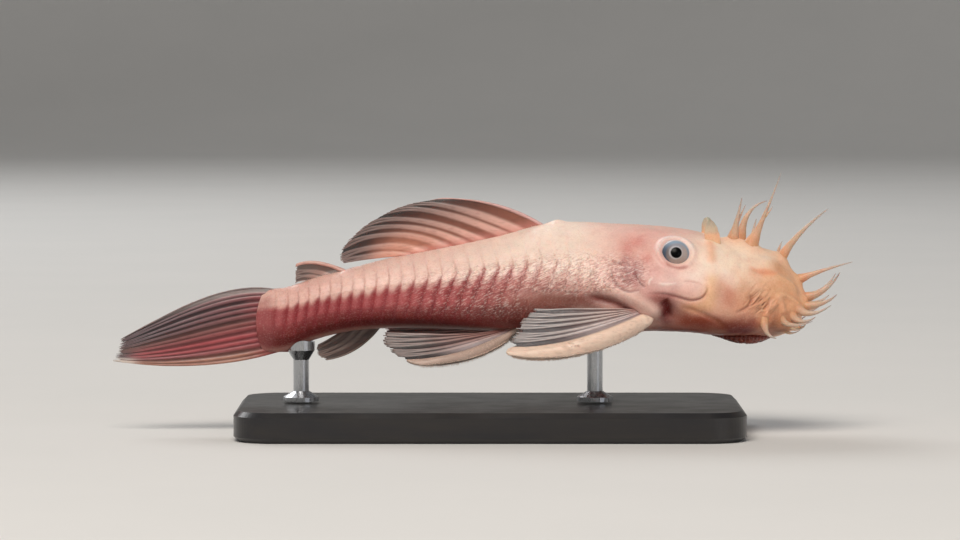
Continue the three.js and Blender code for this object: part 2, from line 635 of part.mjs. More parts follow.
// Stand: a flat base with rounded corners, and rods turned on a lathe.
function baseSolid() {
  const { length, width, height, corner, edge } = BASE;
  const [x, y] = [length / 2 - edge, width / 2 - edge];
  const outline = new THREE.Shape();
  outline.moveTo(-x + corner, -y);
  outline.absarc(x - corner, -y + corner, corner, -Math.PI / 2, 0);
  outline.absarc(x - corner, y - corner, corner, 0, Math.PI / 2);
  outline.absarc(-x + corner, y - corner, corner, Math.PI / 2, Math.PI);
  outline.absarc(-x + corner, -y + corner, corner, Math.PI, 1.5 * Math.PI);
  const slab = new THREE.ExtrudeGeometry(outline, {
    depth: height - 2 * edge,
    bevelSize: edge,
    bevelThickness: edge,
    bevelSegments: 1,
    curveSegments: 8,
  });
  slab.translate(0, 0, edge);
  return solidOf(slab);
}

function rodSolid(x, reach) {
  const { radius, foot, footHeight, cup, cupHeight } = ROD;
  const belly = field("bottom", atX(x));
  const from = BASE.height + GAP;
  const to = belly + reach;
  const profile = [
    [0, from],
    [foot, from],
    [foot, from + 0.6 * footHeight],
    [radius, from + footHeight + 0.5],
    [radius, belly - cupHeight - 0.8],
    [cup, belly - 0.5 * cupHeight],
    [cup, to],
    [0, to],
  ].map(([r, z]) => new THREE.Vector2(r, z));
  const turned = new THREE.LatheGeometry(profile, 24);
  turned.rotateX(Math.PI / 2);
  turned.scale(1, -1, 1);
  turned.index.array.forEach((_, i, all) => {
    if (i % 3 === 2) [all[i - 1], all[i]] = [all[i], all[i - 1]];
  });
  turned.translate(x, 0, 0);
  return solidOf(turned);
}

// Assembly. Everything that grows from the body is cut clear of it by the root gap.
const body = bodySolid(0);
const cutter = bodySolid(ROOT_GAP);
const sockets = [-1, 1].map((side) => ball(eyeCentre(side), EYE.radius + GAP, 16, 10));
const gullet = ball(new THREE.Vector3(MOUTH.x + MOUTH.slitX, 0, MOUTH.z), 1.6, 14, 10);

const HEAD_CUT = { x: 23.6, z: 26.0, lean: -0.54 };
const TAIL_CUT = { x: -17.6, z: 23.0, lean: 0.12 };
const inFrontOf = ({ x, z, lean }) => knife(x, z, lean, GAP / 2, 130);
const behind = ({ x, z, lean }) => knife(x, z, lean, -130, -GAP / 2);

const growths = [
  ...TENTACLES.map((t) => spineSolid(t, tentacleGirth)),
  ...[-1, 1].map((side) => spineSolid(nostrilFlap(side), flapGirth, 0.32)),
];
const head = union([body.intersect(inFrontOf(HEAD_CUT)), ...growths])
  .subtract(union(sockets))
  .subtract(gullet);
const trunk = body.intersect(behind(HEAD_CUT)).intersect(inFrontOf(TAIL_CUT));
const tailStalk = body.intersect(behind(TAIL_CUT));

const solids = {
  head: { solid: head, colour: "#efb79b", roughness: 0.45 },
  trunk: { solid: trunk, colour: "#edb5a8", roughness: 0.5 },
  tail_stalk: { solid: tailStalk, colour: "#dd8f86", roughness: 0.5 },
  mouth_disc: { solid: lipSolid().subtract(cutter), colour: "#d98a78", roughness: 0.4 },
};
[["right", -1], ["left", 1]].forEach(([name, side]) => {
  const eye = ball(eyeCentre(side), EYE.radius, 16, 10);
  solids[`eye_${name}`] = { solid: eye, colour: "#8fa3ad", roughness: 0.12 };
});
for (const [name, fin] of Object.entries(FINS)) {
  const paired = name.startsWith("pec") || name.startsWith("pel");
  const copies = paired ? { [`${name}_right`]: false, [`${name}_left`]: true } : { [name]: false };
  for (const [copy, mirrored] of Object.entries(copies)) {
    const solid = finSolid(fin, mirrored).subtract(cutter);
    solids[copy] = { solid, colour: "#d9b3a6", roughness: 0.4 };
  }
}
solids.stand_base = { solid: baseSolid(), colour: "#2b2b2d", roughness: 0.35 };
for (const [name, x] of Object.entries(ROD_X)) {
  const solid = rodSolid(x, 3).subtract(cutter);
  solids[name] = { solid, colour: "#b9bcc0", roughness: 0.25, metalness: 1 };
}

const group = new THREE.Group();
for (const [name, { solid, colour, roughness, metalness = 0 }] of Object.entries(solids)) {
  const kept = largest(solid).getMesh();
  const geometry = new THREE.BufferGeometry();
  const stride = kept.numProp;
  const position = new Float32Array(kept.numVert * 3);
  for (let i = 0; i < kept.numVert; i++) {
    position.set(kept.vertProperties.subarray(i * stride, i * stride + 3), i * 3);
  }
  geometry.setAttribute("position", new THREE.BufferAttribute(position, 3));
  geometry.setIndex(new THREE.BufferAttribute(kept.triVerts, 1));
  geometry.computeVertexNormals();
  const material = new THREE.MeshStandardMaterial({ color: colour, roughness, metalness });
  const mesh = new THREE.Mesh(geometry, material);
  mesh.name = name;
  group.add(mesh);
}

export default group;
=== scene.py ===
"""A male albino bristlenose pleco, life size, held over a plain display stand.

Shapes are worked out in millimetres in the model's own frame and turned into metres when a mesh is
made: +X runs to the snout, +Z is up, and the fish's right side faces the camera at -Y.
"""
import math

import bpy
import numpy as np
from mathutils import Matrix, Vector


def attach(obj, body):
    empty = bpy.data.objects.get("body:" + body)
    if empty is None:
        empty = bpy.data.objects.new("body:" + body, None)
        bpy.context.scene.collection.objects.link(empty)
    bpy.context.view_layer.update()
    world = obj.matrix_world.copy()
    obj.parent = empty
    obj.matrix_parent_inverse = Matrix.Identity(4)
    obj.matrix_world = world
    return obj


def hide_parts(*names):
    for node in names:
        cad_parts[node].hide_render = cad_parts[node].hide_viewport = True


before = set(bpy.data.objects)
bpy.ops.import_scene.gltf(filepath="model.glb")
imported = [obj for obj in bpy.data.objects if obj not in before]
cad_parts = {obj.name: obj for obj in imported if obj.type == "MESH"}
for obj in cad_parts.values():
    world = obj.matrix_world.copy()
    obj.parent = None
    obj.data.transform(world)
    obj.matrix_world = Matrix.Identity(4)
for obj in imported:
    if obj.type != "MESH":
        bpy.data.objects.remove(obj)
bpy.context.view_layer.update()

MM = 0.001
DETAIL = 1.0  # share of the full mesh density along each way
SEED = 20

# The photograph's frame: pixels to the millimetre at the fish, and the pixel of the model's origin.
FRAME_WIDE, FRAME_HIGH = 960, 540
PX_PER_MM = 6.0
ORIGIN_PX = (490.0, 433.0)


# Small helpers
def lerp(a, b, t):
    return a + (b - a) * t


def smooth(a, b, v):
    t = np.clip((np.asarray(v, float) - a) / (b - a), 0.0, 1.0)
    return t * t * (3 - 2 * t)


def bell(distance, width):
    return np.exp(-((distance / width) ** 2))


def unit(v):
    return v / np.maximum(np.linalg.norm(v, axis=-1, keepdims=True), 1e-9)


def tint(code):
    """A colour written as #rrggbb, as linear values."""
    s = np.array([int(code[i : i + 2], 16) / 255 for i in (1, 3, 5)])
    return np.where(s <= 0.04045, s / 12.92, ((s + 0.055) / 1.055) ** 2.4)


def plain(shape, code):
    """One colour for every place of a grid."""
    return np.zeros((*shape, 3)) + tint(code)


def washed(colour, *layers):
    """Lays colours over another in turn, each where its mask is 1."""
    for code, mask in layers:
        share = np.clip(mask, 0, 1)[..., None]
        colour = colour * (1 - share) + tint(code) * share
    return colour


def turns(count):
    """Angles evenly round a full turn."""
    return np.linspace(0, 2 * np.pi, count, endpoint=False)


def noise(p, size, seed=0):
    """Smooth noise from -1 to 1 with features of about `size` millimetres."""
    q = np.asarray(p, float) / size + 31.7 * seed + 500.0
    cell = np.floor(q).astype(np.int64)
    w = q - cell
    w = w * w * (3 - 2 * w)

    def corner(i, j, k):
        h = (cell[..., 0] + i) * 374761393 + (cell[..., 1] + j) * 668265263
        h = h + (cell[..., 2] + k) * 1440662683
        h = (h ^ (h >> 13)) * 1274126177
        return ((h ^ (h >> 16)) & 0xFFFF) / 32767.5 - 1

    def face(i):
        low = lerp(corner(i, 0, 0), corner(i, 1, 0), w[..., 1])
        high = lerp(corner(i, 0, 1), corner(i, 1, 1), w[..., 1])
        return lerp(low, high, w[..., 2])

    return lerp(face(0), face(1), w[..., 0])


def catmull_rom(a, b, c, d, u):
    """The curve from b to c at the share u, with a before it and d after it."""
    bend = 2 * a - 5 * b + 4 * c - d + u * (3 * (b - c) + d - a)
    return b + 0.5 * u * (c - a + u * bend)


def rounded_path(points):
    """A smooth path through a few points, in steps from one to the next."""
    steps = 8
    p = np.array([points[0], *points, points[-1]], float)
    u = np.linspace(0, 1, steps, endpoint=False)[:, None]
    parts = [catmull_rom(*four, u) for four in zip(p, p[1:], p[2:], p[3:])]
    return np.vstack([*parts, p[-1:]])


def off_path(x, z, points):
    """Distance from a path in side view, and the share of its length at the nearest point."""
    path = rounded_path(points)
    best = np.full(np.shape(x), 1e9)
    share = np.zeros(np.shape(x))
    for k, ((x0, z0), (x1, z1)) in enumerate(zip(path, path[1:])):
        dx, dz = x1 - x0, z1 - z0
        s = np.clip(((x - x0) * dx + (z - z0) * dz) / (dx * dx + dz * dz), 0, 1)
        d = np.hypot(x - x0 - s * dx, z - z0 - s * dz)
        share = np.where(d < best, (k + s) / (len(path) - 1), share)
        best = np.minimum(best, d)
    return best, share


def make_piece(name, points, faces, paint, material, slot, replaced=(), uv=None, **shares):
    """A smooth mesh from points in millimetres, faces with equal numbers of corners and their paint."""
    faces = np.asarray(faces, np.int32)
    mesh = bpy.data.meshes.new(name)
    mesh.vertices.add(len(points))
    mesh.vertices.foreach_set("co", (np.asarray(points) * MM).astype(np.float32).ravel())
    mesh.loops.add(faces.size)
    mesh.loops.foreach_set("vertex_index", faces.ravel())
    mesh.polygons.add(len(faces))
    starts = np.arange(len(faces), dtype=np.int32) * faces.shape[1]
    mesh.polygons.foreach_set("loop_start", starts)
    mesh.update(calc_edges=True)
    mesh.shade_smooth()
    opaque = np.hstack([paint, np.ones((len(paint), 1))]).astype(np.float32)
    mesh.attributes.new("paint", "FLOAT_COLOR", "POINT").data.foreach_set("color", opaque.ravel())
    for key, values in shares.items():
        data = mesh.attributes.new(key, "FLOAT", "POINT").data
        data.foreach_set("value", np.asarray(values, np.float32))
    if uv is not None:
        layer = mesh.uv_layers.new(name="OFBake")
        layer.data.foreach_set("uv", uv[faces.ravel()].astype(np.float32).ravel())
    mesh.validate()
    piece = bpy.data.objects.new(name, mesh)
    bpy.context.scene.collection.objects.link(piece)
    mesh.materials.append(material)
    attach(piece, "root")
    if replaced:
        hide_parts(*replaced)
    return piece


def tube_faces(rings, around):
    """Faces of a stack of closed rings, whose two poles are the last points."""
    i = np.arange(around)
    j = (i + 1) % around
    quads = []
    for k in range(rings - 1):
        a, b = k * around, (k + 1) * around
        quads.append(np.stack([a + i, a + j, b + j, b + i], 1))
    start = rings * around
    last = (rings - 1) * around
    quads.append(np.stack([np.full(around, start), j, i, i], 1))
    quads.append(np.stack([np.full(around, start + 1), last + i, last + j, last + j], 1))
    return np.vstack(quads)


def split(quads):
    """Triangles from quads, leaving out those that have no area."""
    triangles = np.vstack([quads[:, [0, 1, 2]], quads[:, [0, 2, 3]]])
    a, b, c = triangles.T
    return triangles[(a != b) & (b != c) & (a != c)]


def orient(vertices, faces):
    """Turns the faces of a closed mesh so that they point out."""
    a, b, c, *last = (vertices[column] for column in faces.T)
    volume = np.einsum("ij,ij->i", a, np.cross(b, c)).sum()
    for d in last:
        volume += np.einsum("ij,ij->i", a, np.cross(c, d)).sum()
    return faces if volume > 0 else faces[:, ::-1]


def closed_tube(points, colour, poles):
    """Vertices, faces and colours of a stack of rings with a pole at each end."""
    vertices = np.vstack([points.reshape(-1, 3), poles])
    colours = np.vstack([colour.reshape(-1, 3), colour[0, :1], colour[-1, :1]])
    return vertices, orient(vertices, split(tube_faces(*colour.shape[:2]))), colours


# Cross-sections from the caudal base to the snout: x, top, bottom, half the width, the widest level
# as a share of the depth, and the fullness above and below it.
FIELDS = ("x", "top", "bottom", "half", "wide", "crown", "keel")
STATIONS = np.array([
    (-37.9, 23.3, 13.8, 0.9, 0.50, 2.0, 2.0),
    (-36.4, 24.0, 13.4, 1.7, 0.50, 2.0, 2.0),
    (-33.6, 24.3, 13.8, 2.7, 0.50, 2.1, 2.1),
    (-28.7, 26.0, 15.7, 3.8, 0.50, 2.1, 2.3),
    (-23.2, 27.4, 17.0, 4.7, 0.48, 2.1, 2.5),
    (-17.2, 29.0, 17.5, 5.7, 0.46, 2.0, 2.7),
    (-11.2, 30.2, 17.6, 6.9, 0.44, 1.9, 2.9),
    (-5.2, 31.4, 17.4, 8.2, 0.43, 1.8, 3.1),
    (1.7, 32.9, 17.1, 9.7, 0.42, 1.75, 3.2),
    (8.3, 34.7, 16.9, 11.0, 0.41, 1.75, 3.2),
    (14.2, 35.2, 16.9, 12.1, 0.40, 1.8, 3.2),
    (20.8, 34.9, 17.0, 13.1, 0.39, 1.9, 3.1),
    (26.7, 34.6, 17.2, 13.5, 0.38, 2.0, 3.0),
    (32.5, 34.0, 17.0, 13.3, 0.37, 2.1, 2.9),
    (37.5, 32.8, 16.5, 12.6, 0.36, 2.15, 2.8),
    (42.5, 31.2, 16.2, 11.2, 0.35, 2.15, 2.7),
    (46.7, 30.3, 16.1, 9.4, 0.35, 2.1, 2.6),
    (49.7, 27.8, 16.9, 7.2, 0.36, 2.0, 2.4),
    (51.5, 25.0, 18.2, 4.4, 0.38, 2.0, 2.2),
    (52.3, 21.3, 21.3, 0.0, 0.50, 2.0, 2.0),
])
LAST = len(STATIONS) - 1
WIDEST = STATIONS[:, FIELDS.index("half")].max()

# Plates: their count in a row and their span in x, how far each rises over the one behind it and
# at what share of its length, the teeth of its rear edge, and where the rows meet on the way round.
# A plate at the share c of the count lies at PLATE_EVEN * c + PLATE_GROWTH * c * c of the span. The
# edges make a V that points forward at SLANT_ROW, by SLANT_TAIL at the tail and SLANT_FORE in front.
PLATE_COUNT = 26
PLATES_FROM_X, PLATES_TO_X = 17.0, -37.0
PLATE_LIFT, PLATE_STEP = 0.3, 0.92
PLATE_TEETH, TOOTH_DEPTH = 7, 0.035
PLATE_EVEN, PLATE_GROWTH = 0.78, 0.22
SLANT_TAIL, SLANT_FORE = 1.0, 4.4
SLANT_ROW = 0.34
ROW_EDGES = (0, 0.15, 0.31, 0.47, 0.62, 0.75)

# The skin's mesh at full detail: points round each half, and millimetres from ring to ring.
SKIN_AROUND, SKIN_SPACING = 188, 0.155
# How much lower a place is seen for each millimetre that it lies out from the middle.
SEEN_LOWER = 0.052
# How far the skin's rear end bulges back over the tail fin's root.
CAUDAL_PAD = 1.1
# The eye: its place and radius, how far it stands out, the raised rim of skin round it, and how far
# the socket turns down from the skin's own slope.
EYE = {"x": 30.5, "z": 30.6, "radius": 2.75, "proud": 1.3, "rim": 0.42, "rim_width": 0.55, "turn": 0.3}


def field(name, t):
    """Catmull-Rom value of a station's field at parameter t, from 0 to LAST."""
    column = STATIONS[:, FIELDS.index(name)]
    i = np.clip(np.floor(t).astype(int), 0, LAST - 1)
    u = t - i
    return catmull_rom(*(column[np.clip(i + k, 0, LAST)] for k in (-1, 0, 1, 2)), u)


T_TABLE = np.linspace(0, LAST, 4001)
X_TABLE = field("x", T_TABLE)


def at_x(x):
    return np.interp(x, X_TABLE, T_TABLE)


def base_points(t, f):
    """Points of the smooth body's +Y side; f runs from the back's midline (0) to the belly's (1)."""
    top, bottom = field("top", t), field("bottom", t)
    half = np.maximum(0, field("half", t))
    level = lerp(bottom, top, field("wide", t))
    above = f < 0.5
    power = 2 / np.where(above, field("crown", t), field("keel", t))
    reach = np.where(above, top - level, level - bottom)
    c, s = np.cos(np.pi * f), np.maximum(0, np.sin(np.pi * f))
    y = half * s**power
    z = level + np.sign(c) * reach * np.abs(c) ** power
    return np.stack([field("x", t) + 0 * f, y, z], -1)


def base_normals(t, f):
    f0 = np.clip(f, 0.004, 0.996)
    along = base_points(np.minimum(LAST, t + 0.02), f0) - base_points(np.maximum(0, t - 0.02), f0)
    around = base_points(t, f0 + 0.004) - base_points(t, f0 - 0.004)
    n = np.cross(along, around)
    n[..., 1] = np.where((f <= 0) | (f >= 1), 0, n[..., 1])
    return unit(n)


def seat_at(x, z):
    """The +Y side's point and normal at a given x and z."""
    t = np.array([at_x(x)])
    f = np.linspace(0, 1, 2001)
    levels = base_points(np.repeat(t, len(f)), f)[:, 2]
    f0 = np.array([np.interp(-z, -levels, f)])
    return base_points(t, f0)[0], base_normals(t, f0)[0]


EYE_SEAT, EYE_NORMAL = seat_at(EYE["x"], EYE["z"])
EYE_UPHILL = unit(np.array([0, 0, 1.0]) - EYE_NORMAL * EYE_NORMAL[2])
EYE_AXIS = unit(EYE_NORMAL - EYE["turn"] * EYE_UPHILL)

# Tentacles: root, bend and tip in x, y and z, the girth, how much the root flares, and how quickly
# the rest tapers. Those with a girth of no more than TWIG grow out of another tentacle.
TWIG = 0.5
TENTACLES = {
    "fork": ((39.9, -2.2, 30.6), (40.8, -2.6, 34.6), (41.8, -3.0, 39.4), 1.2, 0.6, 1.1),
    "fork_twig": ((40.7, -2.5, 34.4), (41.5, -2.3, 36.2), (42.5, -2.0, 38.2), 0.5, 0, 0.9),
    "hooked": ((41.8, 2.0, 30.4), (41.8, 2.6, 37.7), (46.4, 3.0, 38.6), 1.1, 0.35, 1.1),
    "tall": ((42.3, -2.6, 29.4), (45.7, -3.3, 36.3), (48.2, -4.0, 43.5), 1.3, 0.9, 1.6),
    "tall_twig": ((45.6, -3.4, 36.2), (46.3, -3.6, 37.0), (46.9, -3.7, 38.0), 0.35, 0, 1),
    "tall_far": ((43.4, 2.4, 29.3), (43.9, 3.2, 33.2), (44.6, 3.8, 35.6), 0.9, 0.35, 1),
    "front": ((48.0, -0.9, 28.4), (50.4, -1.3, 33.1), (56.2, -2.2, 37.5), 1.2, 0.2, 1),
    "front_far": ((47.8, 1.6, 28.3), (48.2, 2.4, 30.8), (48.9, 3.0, 31.9), 0.6, 0.35, 1),
    "brow": ((50.2, -1.6, 25.2), (54.6, -2.4, 27.2), (60.2, -3.2, 28.7), 0.95, 0.5, 1.1),
    "brow_far": ((50.3, 2.6, 24.8), (54.4, 3.6, 26.7), (58.4, 4.6, 27.8), 0.8, 0.35, 1.1),
    "lip_1": ((51.0, -2.4, 22.6), (55.7, -3.8, 22.8), (58.0, -4.6, 27.1), 1.1, 0.35, 0.9),
    "lip_2": ((50.7, -3.8, 21.4), (55.3, -5.4, 21.2), (57.4, -6.2, 23.5), 1.0, 0.35, 0.95),
    "lip_3": ((49.6, -6.2, 22.4), (52.0, -7.9, 18.7), (56.3, -8.0, 21.8), 1.15, 0.35, 1),
    "lip_4": ((49.0, -7.0, 21.3), (50.6, -8.6, 17.7), (53.7, -8.6, 19.9), 1.0, 0.35, 1),
    "lip_5": ((47.6, -7.9, 22.0), (47.3, -9.5, 17.0), (53.2, -8.9, 19.2), 1.05, 0.35, 1),
    "lip_6": ((48.6, -6.8, 19.4), (49.9, -7.7, 16.8), (52.0, -7.2, 18.2), 0.65, 0.35, 1),
    "lip_7": ((47.8, -6.2, 18.8), (49.0, -7.3, 16.1), (51.3, -6.6, 17.6), 0.6, 0.35, 1),
    "cheek": ((45.2, -9.4, 20.7), (44.5, -11.6, 16.8), (47.1, -11.0, 16.5), 0.95, 0.35, 1),
    "lip_1_far": ((51.0, 1.2, 22.4), (55.6, 1.8, 22.5), (57.8, 2.2, 26.5), 1.0, 0.35, 0.9),
    "lip_2_far": ((50.7, 3.0, 21.1), (54.9, 4.8, 20.8), (57.0, 5.8, 22.7), 0.95, 0.35, 0.95),
    "lip_3_far": ((49.6, 6.2, 21.8), (52.0, 7.9, 18.0), (55.9, 8.2, 20.9), 1.1, 0.35, 1),
    "lip_4_far": ((49.0, 7.0, 20.7), (50.6, 8.6, 16.9), (53.4, 8.8, 19.0), 0.95, 0.35, 1),
    "lip_5_far": ((47.6, 7.9, 21.3), (47.3, 9.5, 16.2), (52.7, 9.0, 18.3), 1.0, 0.35, 1),
    "lip_6_far": ((48.6, 6.8, 18.9), (49.9, 7.7, 16.3), (51.8, 7.2, 17.6), 0.65, 0.35, 1),
    "lip_7_far": ((47.8, 6.2, 18.5), (49.0, 7.3, 15.9), (51.1, 6.6, 17.1), 0.6, 0.35, 1),
    "cheek_far": ((45.2, 9.4, 20.1), (44.5, 11.6, 16.1), (46.8, 11.0, 15.8), 0.9, 0.35, 1),
    "under": ((50.4, -1.6, 18.7), (51.4, -2.2, 16.9), (52.5, -2.6, 18.3), 0.6, 0.35, 1),
    "under_far": ((50.4, 1.6, 18.7), (51.4, 2.2, 16.9), (52.5, 2.6, 18.3), 0.6, 0.35, 1),
}


def bezier(root, bend, tip, t):
    root, bend, tip = (np.array(p, float) for p in (root, bend, tip))
    t = np.asarray(t, float)[..., None]
    return root * (1 - t) ** 2 + bend * 2 * t * (1 - t) + tip * t**2


def buried_share(root, bend, tip):
    """The share of a tentacle's curve that lies inside the smooth body."""
    share = np.linspace(0, 0.7, 141)
    p = bezier(root, bend, tip, share)
    t = at_x(p[:, 0])
    top, bottom = field("top", t), field("bottom", t)
    level = lerp(bottom, top, field("wide", t))
    above = p[:, 2] > level
    power = 2 / np.where(above, field("crown", t), field("keel", t))
    reach = np.maximum(1e-6, np.where(above, top - level, level - bottom))
    c = np.clip(np.abs(p[:, 2] - level) / reach, 0, 1) ** (1 / power)
    inside = np.abs(p[:, 1]) < field("half", t) * (1 - c * c) ** (power / 2) - 0.05
    return share[inside].max() if inside.any() else 0.0


# Soft swellings and hollows of the head, as x, y, z, radius and lift.
SWELLINGS = (
    (27.5, 13.2, 24.8, 4.6, 0.7),
    (34.0, 12.9, 24.6, 3.8, 0.6),
    (30.5, 13.4, 19.8, 2.6, -0.9),
    (39.5, 11.8, 20.0, 4.2, 0.7),
    (46.5, 8.0, 22.0, 3.6, 0.45),
    (43.0, 3.0, 31.0, 3.0, 0.3),
    (24.5, 6.0, 33.5, 3.5, 0.35),
    (11.2, 0.0, 34.9, 1.3, 0.5),
)

# Folds and ridges as seen from the side: path in x and z, lift and width.
FOLDS = {
    "gill_cover": (((19.7, 27.2), (20.2, 25.6), (21.2, 24.3), (22.8, 23.6), (24.6, 23.9)), -0.2, 0.17),
    "cheek_plate": (((23.6, 27.0), (23.9, 25.9), (24.6, 24.9), (25.5, 24.2)), -0.2, 0.17),
    "notch": (((20.0, 28.8), (20.7, 28.4), (21.7, 28.3)), -0.22, 0.17),
    "cheek_fold": (
        ((25.8, 23.3), (28.6, 23.2), (31.2, 22.6), (33.0, 22.2), (34.6, 22.6), (35.4, 23.6),
         (35.2, 24.5)), -0.34, 0.22,
    ),
    "cheek_top": (((31.4, 25.3), (33.4, 25.1), (34.8, 24.6)), -0.1, 0.14),
    "under_eye": (((28.7, 28.4), (29.7, 27.8), (31.2, 27.5), (32.8, 27.8)), -0.22, 0.26),
    "pale_ridge": (((26.0, 24.5), (26.1, 25.3), (26.8, 25.9)), 0.14, 0.2),
    "pale_bar": (((27.4, 24.9), (29.0, 24.75), (30.6, 25.0)), 0.16, 0.22),
    "shoulder": (((15.8, 25.2), (20.7, 23.7), (24.0, 22.3), (26.6, 20.6), (27.8, 19.2)), 0.5, 1.05),
    "under_shoulder": (((15.0, 22.9), (19.6, 21.9), (22.8, 20.5), (25.0, 18.9)), -0.5, 0.65),
    "gill_slit": (((28.2, 22.2), (29.0, 20.9), (29.0, 18.6)), -0.9, 0.75),
    "nostril_fold": (((36.2, 32.2), (36.4, 30.4), (36.5, 28.0)), 0.2, 0.85),
    "muzzle_fold": (((36.5, 26.8), (36.1, 24.6), (35.9, 22.6), (35.0, 20.6)), 0.2, 1.1),
    "jaw": (((31.2, 21.2), (33.6, 20.6), (36.4, 19.4), (38.8, 17.9)), -0.14, 0.4),
    "ridge_1": (((45.2, 26.9), (47.4, 25.9), (49.6, 24.7), (51.4, 23.1)), 0.4, 0.65),
    "ridge_2": (((46.2, 23.4), (48.3, 22.95), (49.6, 22.4), (50.6, 21.5), (51.2, 20.7)), 0.5, 0.45),
    "ridge_3": (((46.6, 22.9), (47.5, 22.3), (47.8, 21.2), (48.0, 20.2)), 0.4, 0.45),
    "ridge_4": (((47.2, 22.0), (46.2, 21.2), (45.4, 20.4), (45.1, 19.6)), 0.35, 0.42),
    "muzzle_lobe": (((42.8, 23.4), (42.8, 22.0), (41.8, 20.9), (40.0, 20.2)), -0.28, 0.24),
    "snout_groove": (((42.6, 27.6), (45.0, 26.8), (47.4, 26.4)), -0.16, 0.45),
}


def level_seen(p):
    """The height at which a place is seen from the side, a few degrees from above."""
    return p[..., 2] - SEEN_LOWER * np.abs(p[..., 1])


def plate_shares(x, f):
    """Where a point lies on its plate: the share of its length from the rear edge, and its row."""
    ends = smooth(PLATES_TO_X, -33, x) * smooth(PLATES_FROM_X + 1, 11, x)
    slant = lerp(SLANT_TAIL, SLANT_FORE, smooth(-24, 6, x))
    lean = np.where(f < SLANT_ROW, 1.3, 2.6)
    away = np.minimum(0.3, np.abs(f - SLANT_ROW))
    straight = x - ends * slant * (0.35 - lean * away)
    w = np.clip((straight - PLATES_TO_X) / (PLATES_FROM_X - PLATES_TO_X), -0.2, 1.2)
    root = np.sqrt(np.maximum(0, PLATE_EVEN**2 + 4 * PLATE_GROWTH * w))
    count = (root - PLATE_EVEN) / (2 * PLATE_GROWTH) * PLATE_COUNT
    row = np.clip(np.searchsorted(ROW_EDGES, f, side="right") - 1, 0, len(ROW_EDGES) - 1)
    return count - np.floor(count), row


def plate_relief(x, f):
    """Height of the bony plates, and how close a point is to a plate's rear edge."""
    share, row = plate_shares(x, f)
    low = np.array(ROW_EDGES)[np.minimum(row, 4)]
    high = np.array(ROW_EDGES)[np.minimum(row + 1, 5)]
    r = np.clip((f - low) / (high - low), 0, 1)
    step = PLATE_STEP - TOOTH_DEPTH * np.abs((r * PLATE_TEETH) % 1 - 0.5)
    rise = np.where(share < step, 1 - share / PLATE_STEP, smooth(step, 1, share))
    across = smooth(0, 0.2, r) * smooth(1, 0.8, r)
    fade = smooth(PLATES_FROM_X + 1, PLATES_FROM_X - 5, x) * smooth(-37.4, -34, x) * (row < 5)
    keel = bell(r - 0.5, 0.13) * 0.05
    line = bell(np.minimum(share, 1 - share), 0.1)
    bars = bell(np.abs((share - 0.36) % 1 - 0.5), 0.26)
    height = PLATE_LIFT * (0.8 + 0.2 * across) * (0.2 + 0.8 * rise)
    quiet = 0.35 + 0.65 * smooth(13, -3, x)
    fade = fade * smooth(0.76, 0.62, f)
    back = 0.15 + 0.85 * smooth(0.12, 0.36, f)
    return fade * quiet * back * (height + keel), fade * np.maximum(0.85 * bars, line)


def root_mounds(q, n, side):
    """How the skin is drawn out round the tentacles' roots, and how close each point is to a root."""
    pull, roots = np.zeros(q.shape), np.zeros(q.shape[:-1])
    for root, bend, tip, width, _, _ in TENTACLES.values():
        if width <= TWIG:
            continue
        out = buried_share(root, bend, tip)
        foot, beyond = bezier(root, bend, tip, np.array([out, out + 0.1]))
        ahead = unit(beyond - foot)
        away = q - foot
        along = away @ ahead
        aside = np.linalg.norm(away - along[..., None] * ahead, axis=-1)
        past_foot = np.maximum(0, np.abs(along) - 1.8 * width)
        near = bell(aside, 1.4 * width) * bell(past_foot, 1.5 * width)
        stands = np.clip(n @ (ahead * [1, side, 1]), 0.25, 1)
        pull += (0.8 * width * near * stands)[..., None] * ahead
        roots = np.maximum(roots, near)
    return pull, roots


